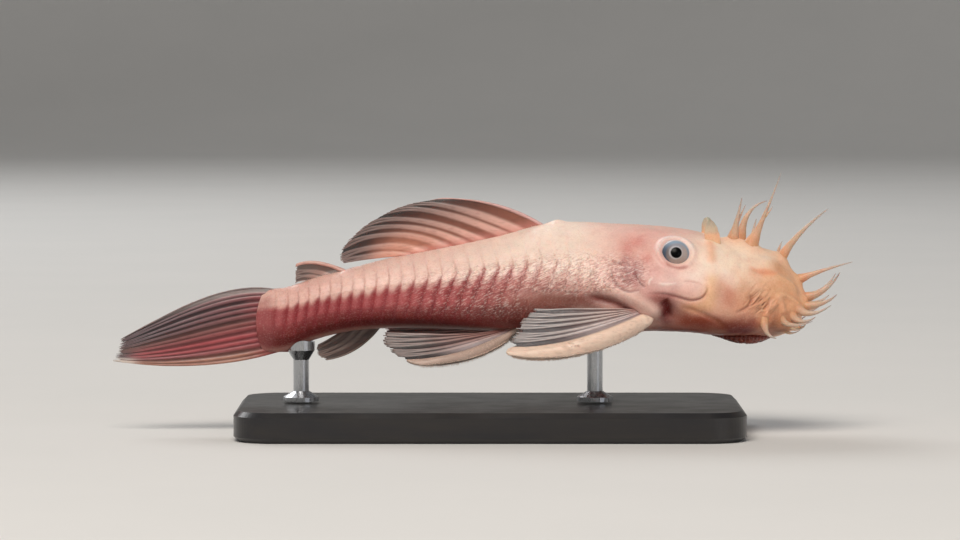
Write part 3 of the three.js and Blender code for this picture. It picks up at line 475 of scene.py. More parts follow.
def surface(t, f, side):
    """Points, normals and shading fields of the skin at parameters t and f on one side."""
    p = base_points(t, f)
    n = base_normals(t, f)
    x, y, z = p[..., 0], p[..., 1], p[..., 2]
    lift, line = plate_relief(x, f)
    for ax, ay, az, radius, amount in SWELLINGS:
        d2 = (x - ax) ** 2 + (y - ay) ** 2 + (z - az) ** 2
        lift += amount * np.exp(-d2 / radius**2)
    from_eye = np.linalg.norm(p - EYE_SEAT, axis=-1)
    lift += EYE["rim"] * bell(from_eye - EYE["radius"] - 0.15, EYE["rim_width"])
    uphill = (p - EYE_SEAT) @ EYE_UPHILL
    lift += EYE["turn"] * uphill * bell(from_eye, 4.2)
    seen = level_seen(p)
    flank = np.minimum(1, smooth(3.0, 6.0, y) + smooth(30, 20, x))
    folds = {}
    for name, (path, amount, width) in FOLDS.items():
        d, share = off_path(x, seen, path)
        ends = smooth(-0.05, 0.25, share) * smooth(1.05, 0.75, share)
        folds[name] = bell(d, width) * flank * ends * (x > 14)
        lift += amount * folds[name]
    q = p * np.array([1, side, 1])
    head = smooth(14, 24, x)
    snout = smooth(37, 42, x)
    wrinkled = bell(x - 44.6, 2.3) * bell(seen - 22.0, 2.2)
    across, lengthwise = 0.62 * x - 0.78 * z, 0.78 * x + 0.62 * z
    streaks = noise(np.stack([across / 0.26, lengthwise / 1.3, side * y / 3], -1), 1.0, 5)
    lift += head * (0.05 * noise(q, 2.2, 1) + 0.03 * noise(q, 0.9, 2))
    lift += snout * (0.07 * noise(q, 1.5, 3) + 0.025 * noise(q, 0.45, 4))
    wrinkles = wrinkled * np.abs(streaks) * flank
    lift -= 0.55 * wrinkles
    lift += (1 - head) * 0.02 * noise(q, 0.4, 6)
    pull, roots = root_mounds(q, n, side)
    n = n * np.array([1, side, 1])
    points = q + n * lift[..., None] + pull
    points[..., 0] -= CAUDAL_PAD * smooth(-33.5, -37.9, x) * np.sin(np.pi * f) ** 2
    fields = {"plate_line": line, "wrinkles": wrinkles, "from_eye": from_eye, "roots": roots, "f": f}
    return points, n, {**fields, **folds}


# Broad tints of the head and flank seen from the side, with painted shade and a painted highlight
# where marked: colour, x, z, reach in x and in z, strength.
BLOTCHES_SHADE_AND_HIGHLIGHT = (
    ("#dca9a2", 27.0, 25.0, 8.0, 5.5, 0.85),
    ("#dda79f", 25.5, 33.0, 5.0, 2.2, 0.6),
    ("#ad7673", 23.0, 26.6, 2.0, 2.2, 0.85),
    ("#e6c2b9", 29.8, 25.3, 3.6, 1.5, 0.7),
    ("#cf7f76", 24.2, 31.8, 1.6, 1.0, 0.6),
    ("#d28076", 22.6, 30.4, 1.2, 1.1, 0.55),
    ("#cf786f", 25.9, 29.3, 0.9, 1.0, 0.55),
    ("#e3c9c6", 33.8, 26.3, 2.0, 1.4, 0.5),
    ("#ffe9d8", 36.6, 28.8, 5.0, 4.4, 0.9),
    ("#ffe4cd", 41.0, 30.4, 4.2, 2.8, 0.85),
    ("#eab184", 33.6, 21.0, 2.8, 1.4, 0.85),
    ("#b3756a", 30.6, 20.2, 1.4, 1.5, 0.6),
    ("#c1755c", 38.9, 22.7, 3.2, 2.2, 0.78),
    # Painted shade: darker orange-brown on the lower face.
    ("#d08a68", 42.4, 21.4, 3.0, 2.6, 0.7),
    ("#d4966a", 46.4, 22.6, 4.4, 3.6, 0.65),
    ("#e4824f", 45.6, 26.8, 1.9, 0.7, 0.45),
    # Painted highlight: a pale spot on the snout's top between two tentacle roots.
    ("#f4e6d6", 46.2, 29.3, 1.5, 0.7, 0.6),
    ("#cc8659", 48.6, 28.0, 1.6, 1.7, 0.7),
    # Painted shade: the throat, the chin and the underside of the snout, darkened out of the light.
    ("#ad4a2c", 34.6, 18.7, 5.6, 1.5, 0.9),
    ("#8c2b14", 41.0, 18.0, 6.8, 1.5, 0.95),
    ("#8c4522", 47.2, 18.6, 2.4, 1.9, 0.85),
    ("#6a3c28", 48.4, 17.0, 2.8, 0.8, 0.8),
    ("#6a0d06", 41.4, 17.2, 3.4, 0.85, 1.0),
    # The gill opening: the gills' own red, darkened as painted shade in the opening.
    ("#6a1310", 28.6, 20.4, 1.3, 2.0, 0.95),
    # Painted shade below the overhanging cheek plates, then below the shoulder and along the low fore
    # flank.
    ("#84382f", 28.0, 22.4, 2.6, 1.1, 0.85),
    ("#935445", 10.5, 21.8, 8.0, 1.6, 0.8),
    ("#7d382f", 6.0, 19.8, 8.0, 1.8, 0.85),
    ("#7a4035", 15.5, 22.3, 8.0, 1.3, 0.85),
)


# The tint that each fold or ridge gives the skin, and its strength. The dark tints of the
# grooves are painted shade; the gill slit's is partly its own red.
FOLD_TINTS_AND_SHADE = {
    "shoulder": ("#ecc9bb", 0.75),
    # Painted shade: the groove under the shoulder.
    "under_shoulder": ("#7d3f38", 0.85),
    # The gill slit's own red, darkened as painted shade in the opening.
    "gill_slit": ("#6e1412", 1.0),
    # Painted shade in the grooves, from here down to under_eye.
    "gill_cover": ("#8f5c5c", 0.75),
    "cheek_plate": ("#8f5c5c", 0.7),
    "notch": ("#9a5852", 0.7),
    "cheek_fold": ("#94504a", 0.75),
    "cheek_top": ("#c48a80", 0.45),
    "under_eye": ("#b4695f", 0.7),
    "pale_ridge": ("#f8e2da", 0.7),
    "pale_bar": ("#f8e2da", 0.7),
    "nostril_fold": ("#eaa77c", 0.6),
    "muzzle_fold": ("#f5c493", 0.6),
    # Painted shade in the jaw's groove.
    "jaw": ("#a8684e", 0.6),
    "ridge_1": ("#f3c39a", 0.45),
    "ridge_2": ("#eec29a", 0.45),
    "ridge_3": ("#f0bd9a", 0.45),
    "ridge_4": ("#eab391", 0.45),
    # Painted shade in the groove by the muzzle lobe.
    "muzzle_lobe": ("#b06c54", 0.5),
    "snout_groove": ("#d9785a", 0.35),
}


# Where the dark band along the flank begins, as a share of the way round from the back, and how
# strong it is, both at places along the body.
BAND_X = (-36, -30, -20, -8, 2, 12, 20)
BAND_START = (0.36, 0.42, 0.44, 0.41, 0.38, 0.40, 0.46)
STRENGTH_X = (-38, -33, -6, 3, 10, 18, 24)
BAND_STRENGTH = (0.85, 1, 1, 0.75, 0.45, 0.25, 0.1)


def fuzz_cover(p, f):
    """Where the skin is furry with long fine odontodes: the fore flank and the gill cover."""
    x = p[..., 0]
    # The fuzz is cut back below the shoulder, where the skin is painted in shade, so that it stays dark.
    shaded_below_shoulder = smooth(1, 8, x) * smooth(23.6, 22.4, level_seen(p) - 0.12 * np.abs(x - 13))
    flank = smooth(0.25, 0.37, f) * smooth(0.68, 0.56, f)
    return smooth(-22, 0, x) * smooth(28, 23, x) * flank * (1 - 0.9 * shaded_below_shoulder)


def skin_paint(p, s):
    """The skin's colour at its points, from the position on the body and the surface's fields,
    with painted shade low on the body, under the head and in the grooves.
    """
    x, f, bars = p[..., 0], s["f"], s["plate_line"]
    z = level_seen(p)
    side = smooth(2.5, 6.0, np.abs(p[..., 1]))
    indent = lerp(0.05, 0.085, smooth(-14, 0, x)) * smooth(-38, -32, x)
    start = np.interp(x, BAND_X, BAND_START) + 0.02 * noise(p, 2.6, 11) + 0.025 - indent * bars
    strength = np.interp(x, STRENGTH_X, BAND_STRENGTH)
    band = smooth(start - 0.05, start + 0.04, f) * smooth(0.88, 0.74, f)
    # Where the lower flank and belly are painted in shade, behind the head.
    low = smooth(0.5, 0.66, f) * smooth(22, 6, x)
    streaky = 0.75 + 0.25 * noise(p, 0.9, 12)
    pad = 0.6 * smooth(-35.0, -37.5, x) * smooth(0.14, 0.3, f)
    colour = washed(
        plain(x.shape, "#f6decf"),
        ("#efccbf", smooth(8, -16, x)),
        ("#e0b4a8", smooth(-14, -34, x)),
        ("#ecc0b2", smooth(13, 24, x)),
        ("#f8d4b8", smooth(32, 39, x)),
        ("#f2be97", smooth(42, 50, x) * smooth(31, 26, z)),
        ("#b9464b", 0.92 * band * strength),
        ("#84292f", 0.55 * band * smooth(-8, -30, x)),
        ("#c87b7d", 0.3 * band * (1 - bars) ** 2 * smooth(8, -8, x) * smooth(0.62, 0.5, f)),
        # Painted shade along the lower flank and belly.
        ("#70241f", 0.85 * low * smooth(0.95, 0.8, f)),
        ("#cf9a98", 0.14 * bars * smooth(0.02, 0.1, f) * (1 - band) * smooth(7, -6, x)),
        ("#87202c", 0.8 * bars * band * strength * streaky * smooth(13, -1, x)),
        ("#c98d80", smooth(0.76, 0.88, f) * smooth(40, 30, x) * 0.8),
        # Painted shade on the underside of the head.
        ("#7d2211", smooth(0.7, 0.86, f) * smooth(24, 29, x) * smooth(49, 44, x) * 0.9),
        ("#994e50", pad * (0.8 + 0.2 * noise(p, 1.2, 15))),
    )
    drift_x, drift_z = 0.28 * noise(p, 1.6, 16), 0.28 * noise(p, 1.6, 17)
    for code, bx, bz, rx, rz, amount in BLOTCHES_SHADE_AND_HIGHLIGHT:
        near = bell(x - bx + rx * drift_x, rx) * bell(z - bz + rz * drift_z, rz)
        colour = washed(colour, (code, amount * side * near))
    colour = washed(colour, *((code, amount * s[name]) for name, (code, amount) in FOLD_TINTS_AND_SHADE.items()))
    eyelid = bell(s["from_eye"] - 2.95, 0.5) * smooth(-1.6, 1.0, z - EYE["z"])
    colour = washed(
        colour,
        # Painted shade in the wrinkles' grooves.
        ("#9d5c46", 0.75 * s["wrinkles"]),
        ("#f0ded8", 0.8 * eyelid),
        ("#e9a378", 0.55 * s["roots"]),
    )
    mottle = 1 + 0.045 * noise(p, 1.7, 13) + 0.03 * noise(p, 0.5, 14)
    return np.clip(colour * mottle[..., None], 0, 1)


def run_along(points):
    """The length of a line of points from its start to each of them."""
    steps = np.linalg.norm(np.diff(points, axis=0), axis=1)
    return np.concatenate([[0], np.cumsum(steps)])


def even_steps(points, values, count):
    """Values at `count` places that lie evenly along a line of points."""
    run = run_along(points)
    return np.interp(np.linspace(0, run[-1], count), run, values)


def build_skin(material):
    """One skin from the caudal base to the snout, with its colours and fine relief."""
    around = int(SKIN_AROUND * DETAIL)
    dense = np.linspace(0, LAST, 3000)
    profile = base_points(dense, np.full(dense.shape, 0.25))
    rings = int(run_along(profile)[-1] / SKIN_SPACING * DETAIL)
    t_values = even_steps(profile, dense, rings + 1)[:-1]
    grid = np.linspace(0, 1, 400)
    lines = [base_points(np.full(grid.shape, t), grid) for t in t_values]
    f_grid = np.array([even_steps(line, grid, around) for line in lines])
    t_grid = np.repeat(t_values[:, None], around, 1)
    halves = []
    for side in (1, -1):
        keep = slice(None) if side > 0 else slice(-2, 0, -1)
        points, _, s = surface(t_grid, f_grid, side)
        cover = fuzz_cover(points, f_grid)
        halves.append([layer[:, keep] for layer in (points, skin_paint(points, s), cover)])
    points, shades, cover = (np.concatenate(pair, 1) for pair in zip(*halves))
    first, tip = STATIONS[0], STATIONS[LAST]
    poles = [[first[0] - 0.15, 0, (first[1] + first[2]) / 2], [tip[0], 0, tip[1]]]
    mesh = closed_tube(points, shades, poles)
    fuzz = np.append(cover.ravel(), (0, 0))
    return make_piece("skin", *mesh, material, "skin", ("head", "trunk", "tail_stalk"), fuzz=fuzz)


# Materials
class Shader:
    """One material's node tree round a principled shader."""

    def __init__(self, name):
        self.material = bpy.data.materials.new(name)
        self.material.use_nodes = True
        self.tree = self.material.node_tree
        self.tree.nodes.clear()
        self.bsdf = self.tree.nodes.new("ShaderNodeBsdfPrincipled")
        out = self.tree.nodes.new("ShaderNodeOutputMaterial")
        self.tree.links.new(self.bsdf.outputs[0], out.inputs[0])

    def set(self, **values):
        for key, value in values.items():
            self.bsdf.inputs[key.replace("_", " ")].default_value = value

    def link(self, source, target):
        self.tree.links.new(source, self.bsdf.inputs[target])

    def node(self, kind, inputs=None, **settings):
        node = self.tree.nodes.new(kind)
        for key, value in settings.items():
            setattr(node, key, value)
        for key, value in (inputs or {}).items():
            if isinstance(value, bpy.types.NodeSocket):
                self.tree.links.new(value, node.inputs[key])
            else:
                node.inputs[key].default_value = value
        return node

    def attribute(self, name, output="Color"):
        return self.node("ShaderNodeAttribute", attribute_name=name).outputs[output]

    def noise(self, size, detail=3.0, longer=(1, 1, 1), slant=0.0):
        """Noise with features of about `size` millimetres, longer along axes that slant up forward."""
        where = self.node("ShaderNodeTexCoord").outputs["Object"]
        turn = (0, -math.radians(slant), 0)
        inputs = {"Vector": where, "Rotation": turn, "Scale": longer}
        place = self.node("ShaderNodeMapping", inputs, vector_type="TEXTURE").outputs[0]
        inputs = {"Vector": place, "Scale": 1 / (size * MM), "Detail": detail, "Roughness": 0.55}
        return self.node("ShaderNodeTexNoise", inputs).outputs[0]

    def ranged(self, value, low, high, to_low, to_high):
        inputs = {"Value": value, "From Min": low, "From Max": high, "To Min": to_low, "To Max": to_high}
        return self.node("ShaderNodeMapRange", inputs).outputs[0]

    def mixed(self, a, b, share, blend="MIX"):
        """Mixes two colours, each an output of a node or written as #rrggbb."""
        a, b = ((*tint(c), 1.0) if isinstance(c, str) else c for c in (a, b))
        inputs = {0: share, 6: a, 7: b}
        return self.node("ShaderNodeMix", inputs, data_type="RGBA", blend_type=blend).outputs[2]

    def times(self, a, b):
        return self.node("ShaderNodeMath", {0: a, 1: b}, operation="MULTIPLY").outputs[0]

    def bump(self, height, depth, strength):
        inputs = {"Height": height, "Distance": depth * MM, "Strength": strength}
        self.link(self.node("ShaderNodeBump", inputs).outputs[0], "Normal")


def flesh_material(name, speckle, roughness, scatter):
    """Moist skin painted by its mesh, with pores, fine speckles and light scattered inside."""
    m = Shader(name)
    paint = m.attribute("paint")
    fine = m.noise(0.28, 2.0)
    broad = m.noise(3.5, 3.0)
    blood = m.mixed(paint, "#c4605a", m.ranged(broad, 0.56, 0.8, 0.0, 0.22))
    dark = m.mixed(blood, "#b06a62", m.ranged(fine, 0.52, 0.7, 0.0, speckle), "MULTIPLY")
    light = m.mixed(dark, "#fff3e6", m.ranged(fine, 0.46, 0.3, 0.0, speckle * 0.6))
    fuzz = m.attribute("fuzz", "Fac")
    hairs = m.noise(0.2, 2.0, (4.5, 1, 1), 24)
    # Where the skin is furry: painted shade between fine slanting hairs, then the hairs' pale tips.
    shade_between_hairs = m.mixed(light, "#a5504f", m.times(fuzz, m.ranged(hairs, 0.5, 0.62, 0.0, 0.5)))
    tips = m.mixed(shade_between_hairs, "#fbe9df", m.times(fuzz, m.ranged(hairs, 0.48, 0.36, 0.0, 0.45)))
    m.link(tips, "Base Color")
    m.link(m.ranged(m.noise(0.8), 0.3, 0.7, roughness - 0.07, roughness + 0.09), "Roughness")
    m.set(Subsurface_Weight=scatter, Subsurface_Scale=1.0, Specular_IOR_Level=0.3)
    m.set(Subsurface_Radius=(1.1 * MM, 0.38 * MM, 0.26 * MM), Coat_Weight=0.1, Coat_Roughness=0.22)
    m.bump(m.noise(0.16, 2.0), 0.03, 0.55)
    return m.material


def fin_material(name):
    """Thin fin: pale bony rays over a web that lets some light through."""
    m = Shader(name)
    paint = m.attribute("paint")
    web = m.attribute("web", "Fac")
    streak = m.noise(0.35, 2.0, (4, 1, 1))
    streaked = m.mixed(paint, "#9c7a72", m.ranged(streak, 0.5, 0.75, 0.0, 0.25), "MULTIPLY")
    m.link(streaked, "Base Color")
    m.link(m.ranged(web, 0.0, 1.0, 1.0, 0.78), "Alpha")
    m.link(m.ranged(m.noise(0.6), 0.3, 0.7, 0.33, 0.48), "Roughness")
    m.set(Subsurface_Weight=0.3, Subsurface_Scale=1.0, Specular_IOR_Level=0.45)
    m.set(Subsurface_Radius=(0.9 * MM, 0.5 * MM, 0.4 * MM))
    m.bump(m.noise(0.12, 2.0), 0.02, 0.4)
    return m.material


# Fins: `net` has the key rays, first to last, as four points from root to tip. `spine` holds the
# share of the fin that the stout leading spine takes up at its tip, what it gains at its root, and
# its half thickness. `push` leads from the root into the body, and `notch` is the share by which
# the web falls short of the rays.
FINS = {
    "caudal_fin": {
        "rays": 13, "spine": (0.03, 0, 0.34), "push": (2.6, 0, 0),
        "ray_height": 0.17, "notch": 0.025,
        "net": (
            ((-35.2, 0, 23.9), (-44.5, 0.2, 23.5), (-53.5, 0.5, 19.9), (-61.6, 0.9, 15.6)),
            ((-36.4, 0, 20.9), (-45.2, -0.2, 19.6), (-54.2, -0.1, 16.9), (-62.1, 0.6, 14.3)),
            ((-36.4, 0, 16.9), (-45.0, 0.2, 15.4), (-54.2, 0.4, 13.7), (-62.6, 0.7, 12.9)),
            ((-35.2, 0, 13.5), (-44.3, 0, 11.6), (-53.8, 0.1, 11.2), (-63.3, 0.5, 12.0)),
        ),
    },
    "dorsal_fin": {
        "rays": 8, "spine": (0.03, 0, 0.42), "push": (0.6, 0, -1.6),
        "ray_height": 0.18, "notch": 0.025,
        "net": (
            ((9.4, 0, 34.5), (3.0, 0.1, 37.6), (-3.5, 0.2, 38.9), (-9.7, 0.4, 38.7)),
            ((1.3, 0, 32.6), (-5.8, -0.1, 35.3), (-12.6, 0.1, 36.7), (-18.6, 0.5, 36.0)),
            ((-6.8, 0, 31.0), (-12.5, 0.1, 33.1), (-18.8, 0.3, 33.2), (-24.3, 0.6, 31.3)),
            ((-15.0, 0, 29.4), (-18.0, 0, 29.2), (-21.2, 0.1, 28.8), (-24.6, 0.2, 28.3)),
        ),
    },
    "adipose_fin": {
        "rays": 4, "spine": (0.16, 0, 0.4), "push": (0.6, 0, -1.6),
        "ray_height": 0.08, "notch": 0.02,
        "net": (
            ((-23.9, 0, 27.2), (-26.7, 0, 28.2), (-29.6, 0, 28.7), (-32.3, 0.1, 28.2)),
            ((-26.2, 0, 26.5), (-28.4, 0, 27.2), (-30.5, 0, 27.4), (-32.5, 0.1, 27.0)),
            ((-28.6, 0, 25.8), (-29.9, 0, 26.1), (-31.2, 0, 26.1), (-32.5, 0.1, 25.8)),
            ((-30.6, 0, 25.3), (-31.2, 0, 25.3), (-31.9, 0, 25.2), (-32.5, 0, 24.9)),
        ),
    },
    "anal_fin": {
        "rays": 5, "spine": (0.07, 0, 0.36), "push": (0.6, 0, 1.8),
        "ray_height": 0.14, "notch": 0.025,
        "net": (
            ((-18.3, 0, 17.5), (-21.2, 0, 14.6), (-24.2, 0, 12.9), (-27.2, 0, 12.1)),
            ((-21.0, 0, 17.3), (-23.4, 0, 15.0), (-26.0, 0, 13.6), (-28.6, 0, 12.8)),
            ((-23.4, 0, 17.1), (-25.2, 0, 15.6), (-27.1, 0, 14.5), (-29.0, 0, 13.8)),
            ((-25.2, 0, 16.7), (-26.4, 0, 16.0), (-27.6, 0, 15.3), (-28.8, 0, 14.7)),
        ),
    },
    "pectoral_fin": {
        "rays": 7, "spine": (0.25, 0.41, 1.05), "push": (-0.4, 2.8, 0.9),
        "ray_height": 0.18, "notch": 0.025,
        "net": (
            ((26.8, -11.6, 19.2), (19.2, -15.8, 15.4), (10.6, -17.8, 13.7), (2.4, -18.6, 14.4)),
            ((25.8, -12.0, 19.9), (18.9, -15.5, 17.8), (10.9, -16.7, 16.2), (3.1, -17.0, 16.1)),
            ((24.8, -12.3, 20.6), (18.7, -15.2, 19.8), (11.8, -15.7, 19.0), (4.5, -15.5, 19.0)),
            ((23.8, -12.5, 21.2), (18.5, -14.7, 21.6), (12.9, -14.7, 21.6), (7.0, -13.9, 21.5)),
        ),
    },
    "pelvic_fin": {
        "rays": 6, "spine": (0.22, 0.2, 0.75), "push": (1.2, 0.8, 1.4),
        "ray_height": 0.17, "notch": 0.025,
        "net": (
            ((4.6, -6.4, 17.1), (-0.9, -9.4, 13.8), (-6.7, -11.6, 12.4), (-12.3, -12.6, 12.1)),
            ((3.8, -6.3, 17.2), (-2.7, -8.9, 15.0), (-9.0, -10.7, 13.7), (-15.2, -11.2, 13.5)),
            ((2.8, -6.2, 17.2), (-4.1, -8.3, 16.1), (-10.8, -9.6, 15.3), (-17.4, -9.6, 15.2)),
            ((1.4, -6.1, 17.2), (-5.2, -7.9, 17.0), (-11.6, -8.4, 17.1), (-17.6, -7.9, 17.2)),
        ),
    },
}
# Half the web's thickness at its root, the joints along a ray, and a fin's rows inside the body.
WEB_HALF = 0.09
RAY_JOINTS = 26
ROWS_IN_BODY = 3

# Each fin's colours: rays at the root and the edge, webs at the root and the edge, and the spine.
FIN_COLOURS = {
    "caudal_fin": ("#8a5457", "#73666b", "#36171b", "#231b21", "#958a89"),
    "dorsal_fin": ("#e2b4a6", "#7d6c68", "#96604f", "#221a19", "#e0b8b4"),
    "adipose_fin": ("#b39187", "#847874", "#6f5b54", "#5a514e", "#d8aea3"),
    # The anal fin's own grey, darkened as painted shade under the body.
    "anal_fin": ("#7d6a63", "#85766f", "#5c4a44", "#4c423f", "#8a7970"),
    "pectoral_fin": ("#d3bbb4", "#a8a1a0", "#86655f", "#37343a", "#f0d4c0"),
    "pelvic_fin": ("#ab8179", "#8c7f7c", "#573430", "#2d2627", "#bda598"),
}


def cubic_weights(t):
    s = 3 * np.asarray(t, float)
    return np.stack([
        -((s - 1) * (s - 2) * (s - 3)) / 6,
        s * (s - 2) * (s - 3) / 2,
        -s * (s - 1) * (s - 3) / 2,
        s * (s - 1) * (s - 2) / 6,
    ], -1)


def fin_points(net, u, v):
    return np.einsum("...i,...j,ijk->...k", cubic_weights(u), cubic_weights(v), np.array(net))


def fin_normals(net, u, v):
    d = 0.01
    across = fin_points(net, u + d, v) - fin_points(net, u - d, v)
    along = fin_points(net, u, v + d) - fin_points(net, u, v - d)
    return unit(np.cross(across, along))


def spine_width(fin, v):
    tip, gain, _ = fin["spine"]
    return tip + gain * np.exp(-v / 0.42)


def ray_profile(fin, u, v):
    """How much of a ray lies at each place: each ray forks twice on its way to the edge."""
    width = spine_width(fin, v)
    pitch = (1 - width) / (fin["rays"] - 1)
    first_fork = 0.21 * pitch * smooth(0.5, 0.95, v)
    second_fork = 0.1 * pitch * smooth(0.72, 1.0, v)
    girth = pitch * lerp(0.34, 0.085, smooth(0.3, 0.98, v))
    ray = np.zeros(u.shape)
    for k in range(1, fin["rays"]):
        centre = width + (k - 0.12 + 0.13 * math.sin(2.4 * k)) * pitch
        for a in (-1, 1):
            for b in (-1, 1):
                ray = np.maximum(ray, bell(u - centre - a * first_fork - b * second_fork, girth))
    return ray


def spine_profile(fin, u, v):
    width = spine_width(fin, v)
    s = np.clip(u / width, 0, 1)
    return np.sin(np.pi * np.clip(0.08 + 0.92 * s, 0, 1)) ** 0.6 * (u < width)


def fin_reach(fin, u, v, solid):
    """Where each place lies along its ray: the web falls short of the rays, the spine's tip is round."""
    s = u / spine_width(fin, v)
    stout = fin["spine"][2] > 0.6
    rounded = 0.05 * np.abs(2 * s - 1) ** 2.5 * (s < 1) * stout
    hairs = noise(np.stack([90 * u, 0 * u, 0 * u], -1), 0.8, 27) * 0.5 + 0.5
    ragged = (s >= 1) * (fin["notch"] * (1 - solid) + 0.045 * hairs)
    heel = 0.05 * np.maximum(0, 1 - 2.2 * s) ** 2 * stout * (1 - v) ** 6
    return v * (1 - smooth(0.7, 1, v) * (rounded + ragged)) + heel


def fin_paint(name, u, v, ray, spine, p):
    """A fin's colour, u from the spine to the last ray and v from the root to the edge."""
    root_ray, edge_ray, root_web, edge_web, bone = FIN_COLOURS[name]
    reach = smooth(0.0, 0.85, v)
    rays = washed(plain(u.shape, root_ray), (edge_ray, reach))
    webs = washed(plain(u.shape, root_web), (edge_web, reach))
    colour = lerp(webs, rays, smooth(0.15, 0.8, ray)[..., None])
    if name == "caudal_fin":
        low = bell(u - 0.7, 0.15) * smooth(0.98, 0.8, v)
        pad = smooth(0.24, 0.04, v) * smooth(0.05, 0.2, u)
        colour = washed(
            colour,
            ("#7d5a4d", 0.5 * bell(u - 0.52, 0.1) * (0.4 + 0.6 * ray)),
            ("#c05257", 0.75 * low * (0.3 + 0.7 * ray)),
            ("#b5836a", 0.7 * smooth(0.8, 0.93, u) * (0.4 + 0.6 * ray)),
            ("#f4eae2", smooth(0.8, 0.96, v) * smooth(0.72, 0.86, u) * ray),
            ("#994a4e", 0.8 * pad * (0.5 + 0.5 * ray)),
            ("#c9bfbc", 0.75 * smooth(0.16, 0.0, u) * smooth(0.9, 0.0, v)),
        )
    if name == "dorsal_fin":
        colour = washed(
            colour,
            ("#e09a7e", 0.5 * smooth(0.45, 0.9, u) * smooth(0.7, 0.3, v)),
            ("#d98a82", 0.5 * smooth(0.16, 0.0, v)),
        )
    if name in ("pectoral_fin", "pelvic_fin"):
        width = spine_width(FINS[name], v)
        pale = bell(u - width - 0.08, 0.12) * smooth(0.75, 0.3, v)
        colour = washed(
            colour,
            # Reddish near the root: the flesh there, with painted shade where the fin meets the body.
            ("#b4695f", 0.6 * smooth(0.16, 0.02, v) * (u > width)),
            ("#dccfd0", 0.6 * pale),
        )
    colour = washed(colour, (bone, 0.95 * smooth(0.15, 0.6, spine)))
    return np.clip(colour * (1 + 0.05 * noise(p, 0.9, 21))[..., None], 0, 1)


def sheet_faces(columns, rows):
    """Faces of a closed sheet: a grid of columns and rows in front, one behind, and the rim."""
    i, k = np.meshgrid(np.arange(columns - 1), np.arange(rows - 1), indexing="ij")
    a, b = (i * rows + k).ravel(), ((i + 1) * rows + k).ravel()
    back = columns * rows
    front = np.stack([a, b, b + 1, a + 1], 1)
    rim = np.concatenate([
        np.arange(columns) * rows,
        (columns - 1) * rows + np.arange(1, rows),
        (np.arange(columns - 2, -1, -1) + 1) * rows - 1,
        np.arange(rows - 2, 0, -1),
    ])
    ahead = np.roll(rim, -1)
    edge = np.stack([rim, back + rim, back + ahead, ahead], 1)
    return np.vstack([front, back + front[:, ::-1], edge])


def build_fin(name, piece, side, material):
    """A fin as one closed thin sheet with forked rays, the same on both faces."""
    fin = FINS[name]
    net = fin["net"]
    columns = int((60 + 15 * fin["rays"]) * DETAIL)
    rows = int((95 if name in ("caudal_fin", "dorsal_fin", "pectoral_fin") else 75) * DETAIL)
    u, v = np.meshgrid(np.linspace(0, 1, columns), np.linspace(0, 1, rows), indexing="ij")
    ray = ray_profile(fin, u, v)
    spine = spine_profile(fin, u, v)
    solid = np.maximum(smooth(0.2, 0.7, ray), smooth(0.1, 0.4, spine))
    reach = fin_reach(fin, u, v, solid)
    points = fin_points(net, u, reach)
    normals = fin_normals(net, u, reach)
    slender = lerp(1.0, 0.3, smooth(0.1, 1, v))
    joints = 1 - 0.12 * (0.5 + 0.5 * np.cos(v * 2 * np.pi * RAY_JOINTS)) * smooth(0.25, 0.4, v)
    half = WEB_HALF * lerp(1, 0.6, v) + fin["ray_height"] * ray * slender * joints
    bony = fin["spine"][2] * spine * (1 - 0.62 * smooth(0.55, 1, v)) * (1 - 0.55 * smooth(0.97, 1, v))
    half = np.maximum(half, bony * (1 + 0.06 * noise(points, 0.5, 22)))
    half = half + 0.28 * bell(v, 0.1) * smooth(0, 0.05, u) * smooth(1, 0.95, u)
    ripple = 0.14 * noise(points, 3.4, 23) * smooth(0.15, 0.7, v)
    points = points + normals * ripple[..., None]
    steps = np.arange(ROWS_IN_BODY, 0, -1)[:, None]
    sheets = []
    for face in (1, -1):
        sheet = points + normals * (face * half)[..., None]
        sunk = sheet[:, :1] + np.array(fin["push"]) * steps / ROWS_IN_BODY
        sheets.append(np.concatenate([sunk, sheet], 1))

    def padded(values):
        return np.concatenate([np.repeat(values[:, :1], ROWS_IN_BODY, 1), values], 1)

    v_all = padded(v)
    web = (1 - padded(solid)) * smooth(0.04, 0.16, v_all) * (0.4 + 0.6 * smooth(0.6, 1.0, v_all))
    shade = fin_paint(name, padded(u), v_all, padded(ray), padded(spine), sheets[0])
    vertices = np.concatenate([sheet.reshape(-1, 3) for sheet in sheets])
    if side > 0:
        vertices = vertices * np.array([1, -1, 1])
    faces = orient(vertices, sheet_faces(columns, rows + ROWS_IN_BODY))
    paint = np.tile(shade.reshape(-1, 3), (2, 1))
    web = np.tile(web.ravel(), 2)
    return make_piece(f"{piece}_rays", vertices, faces, paint, material, "fin", (piece,), web=web)


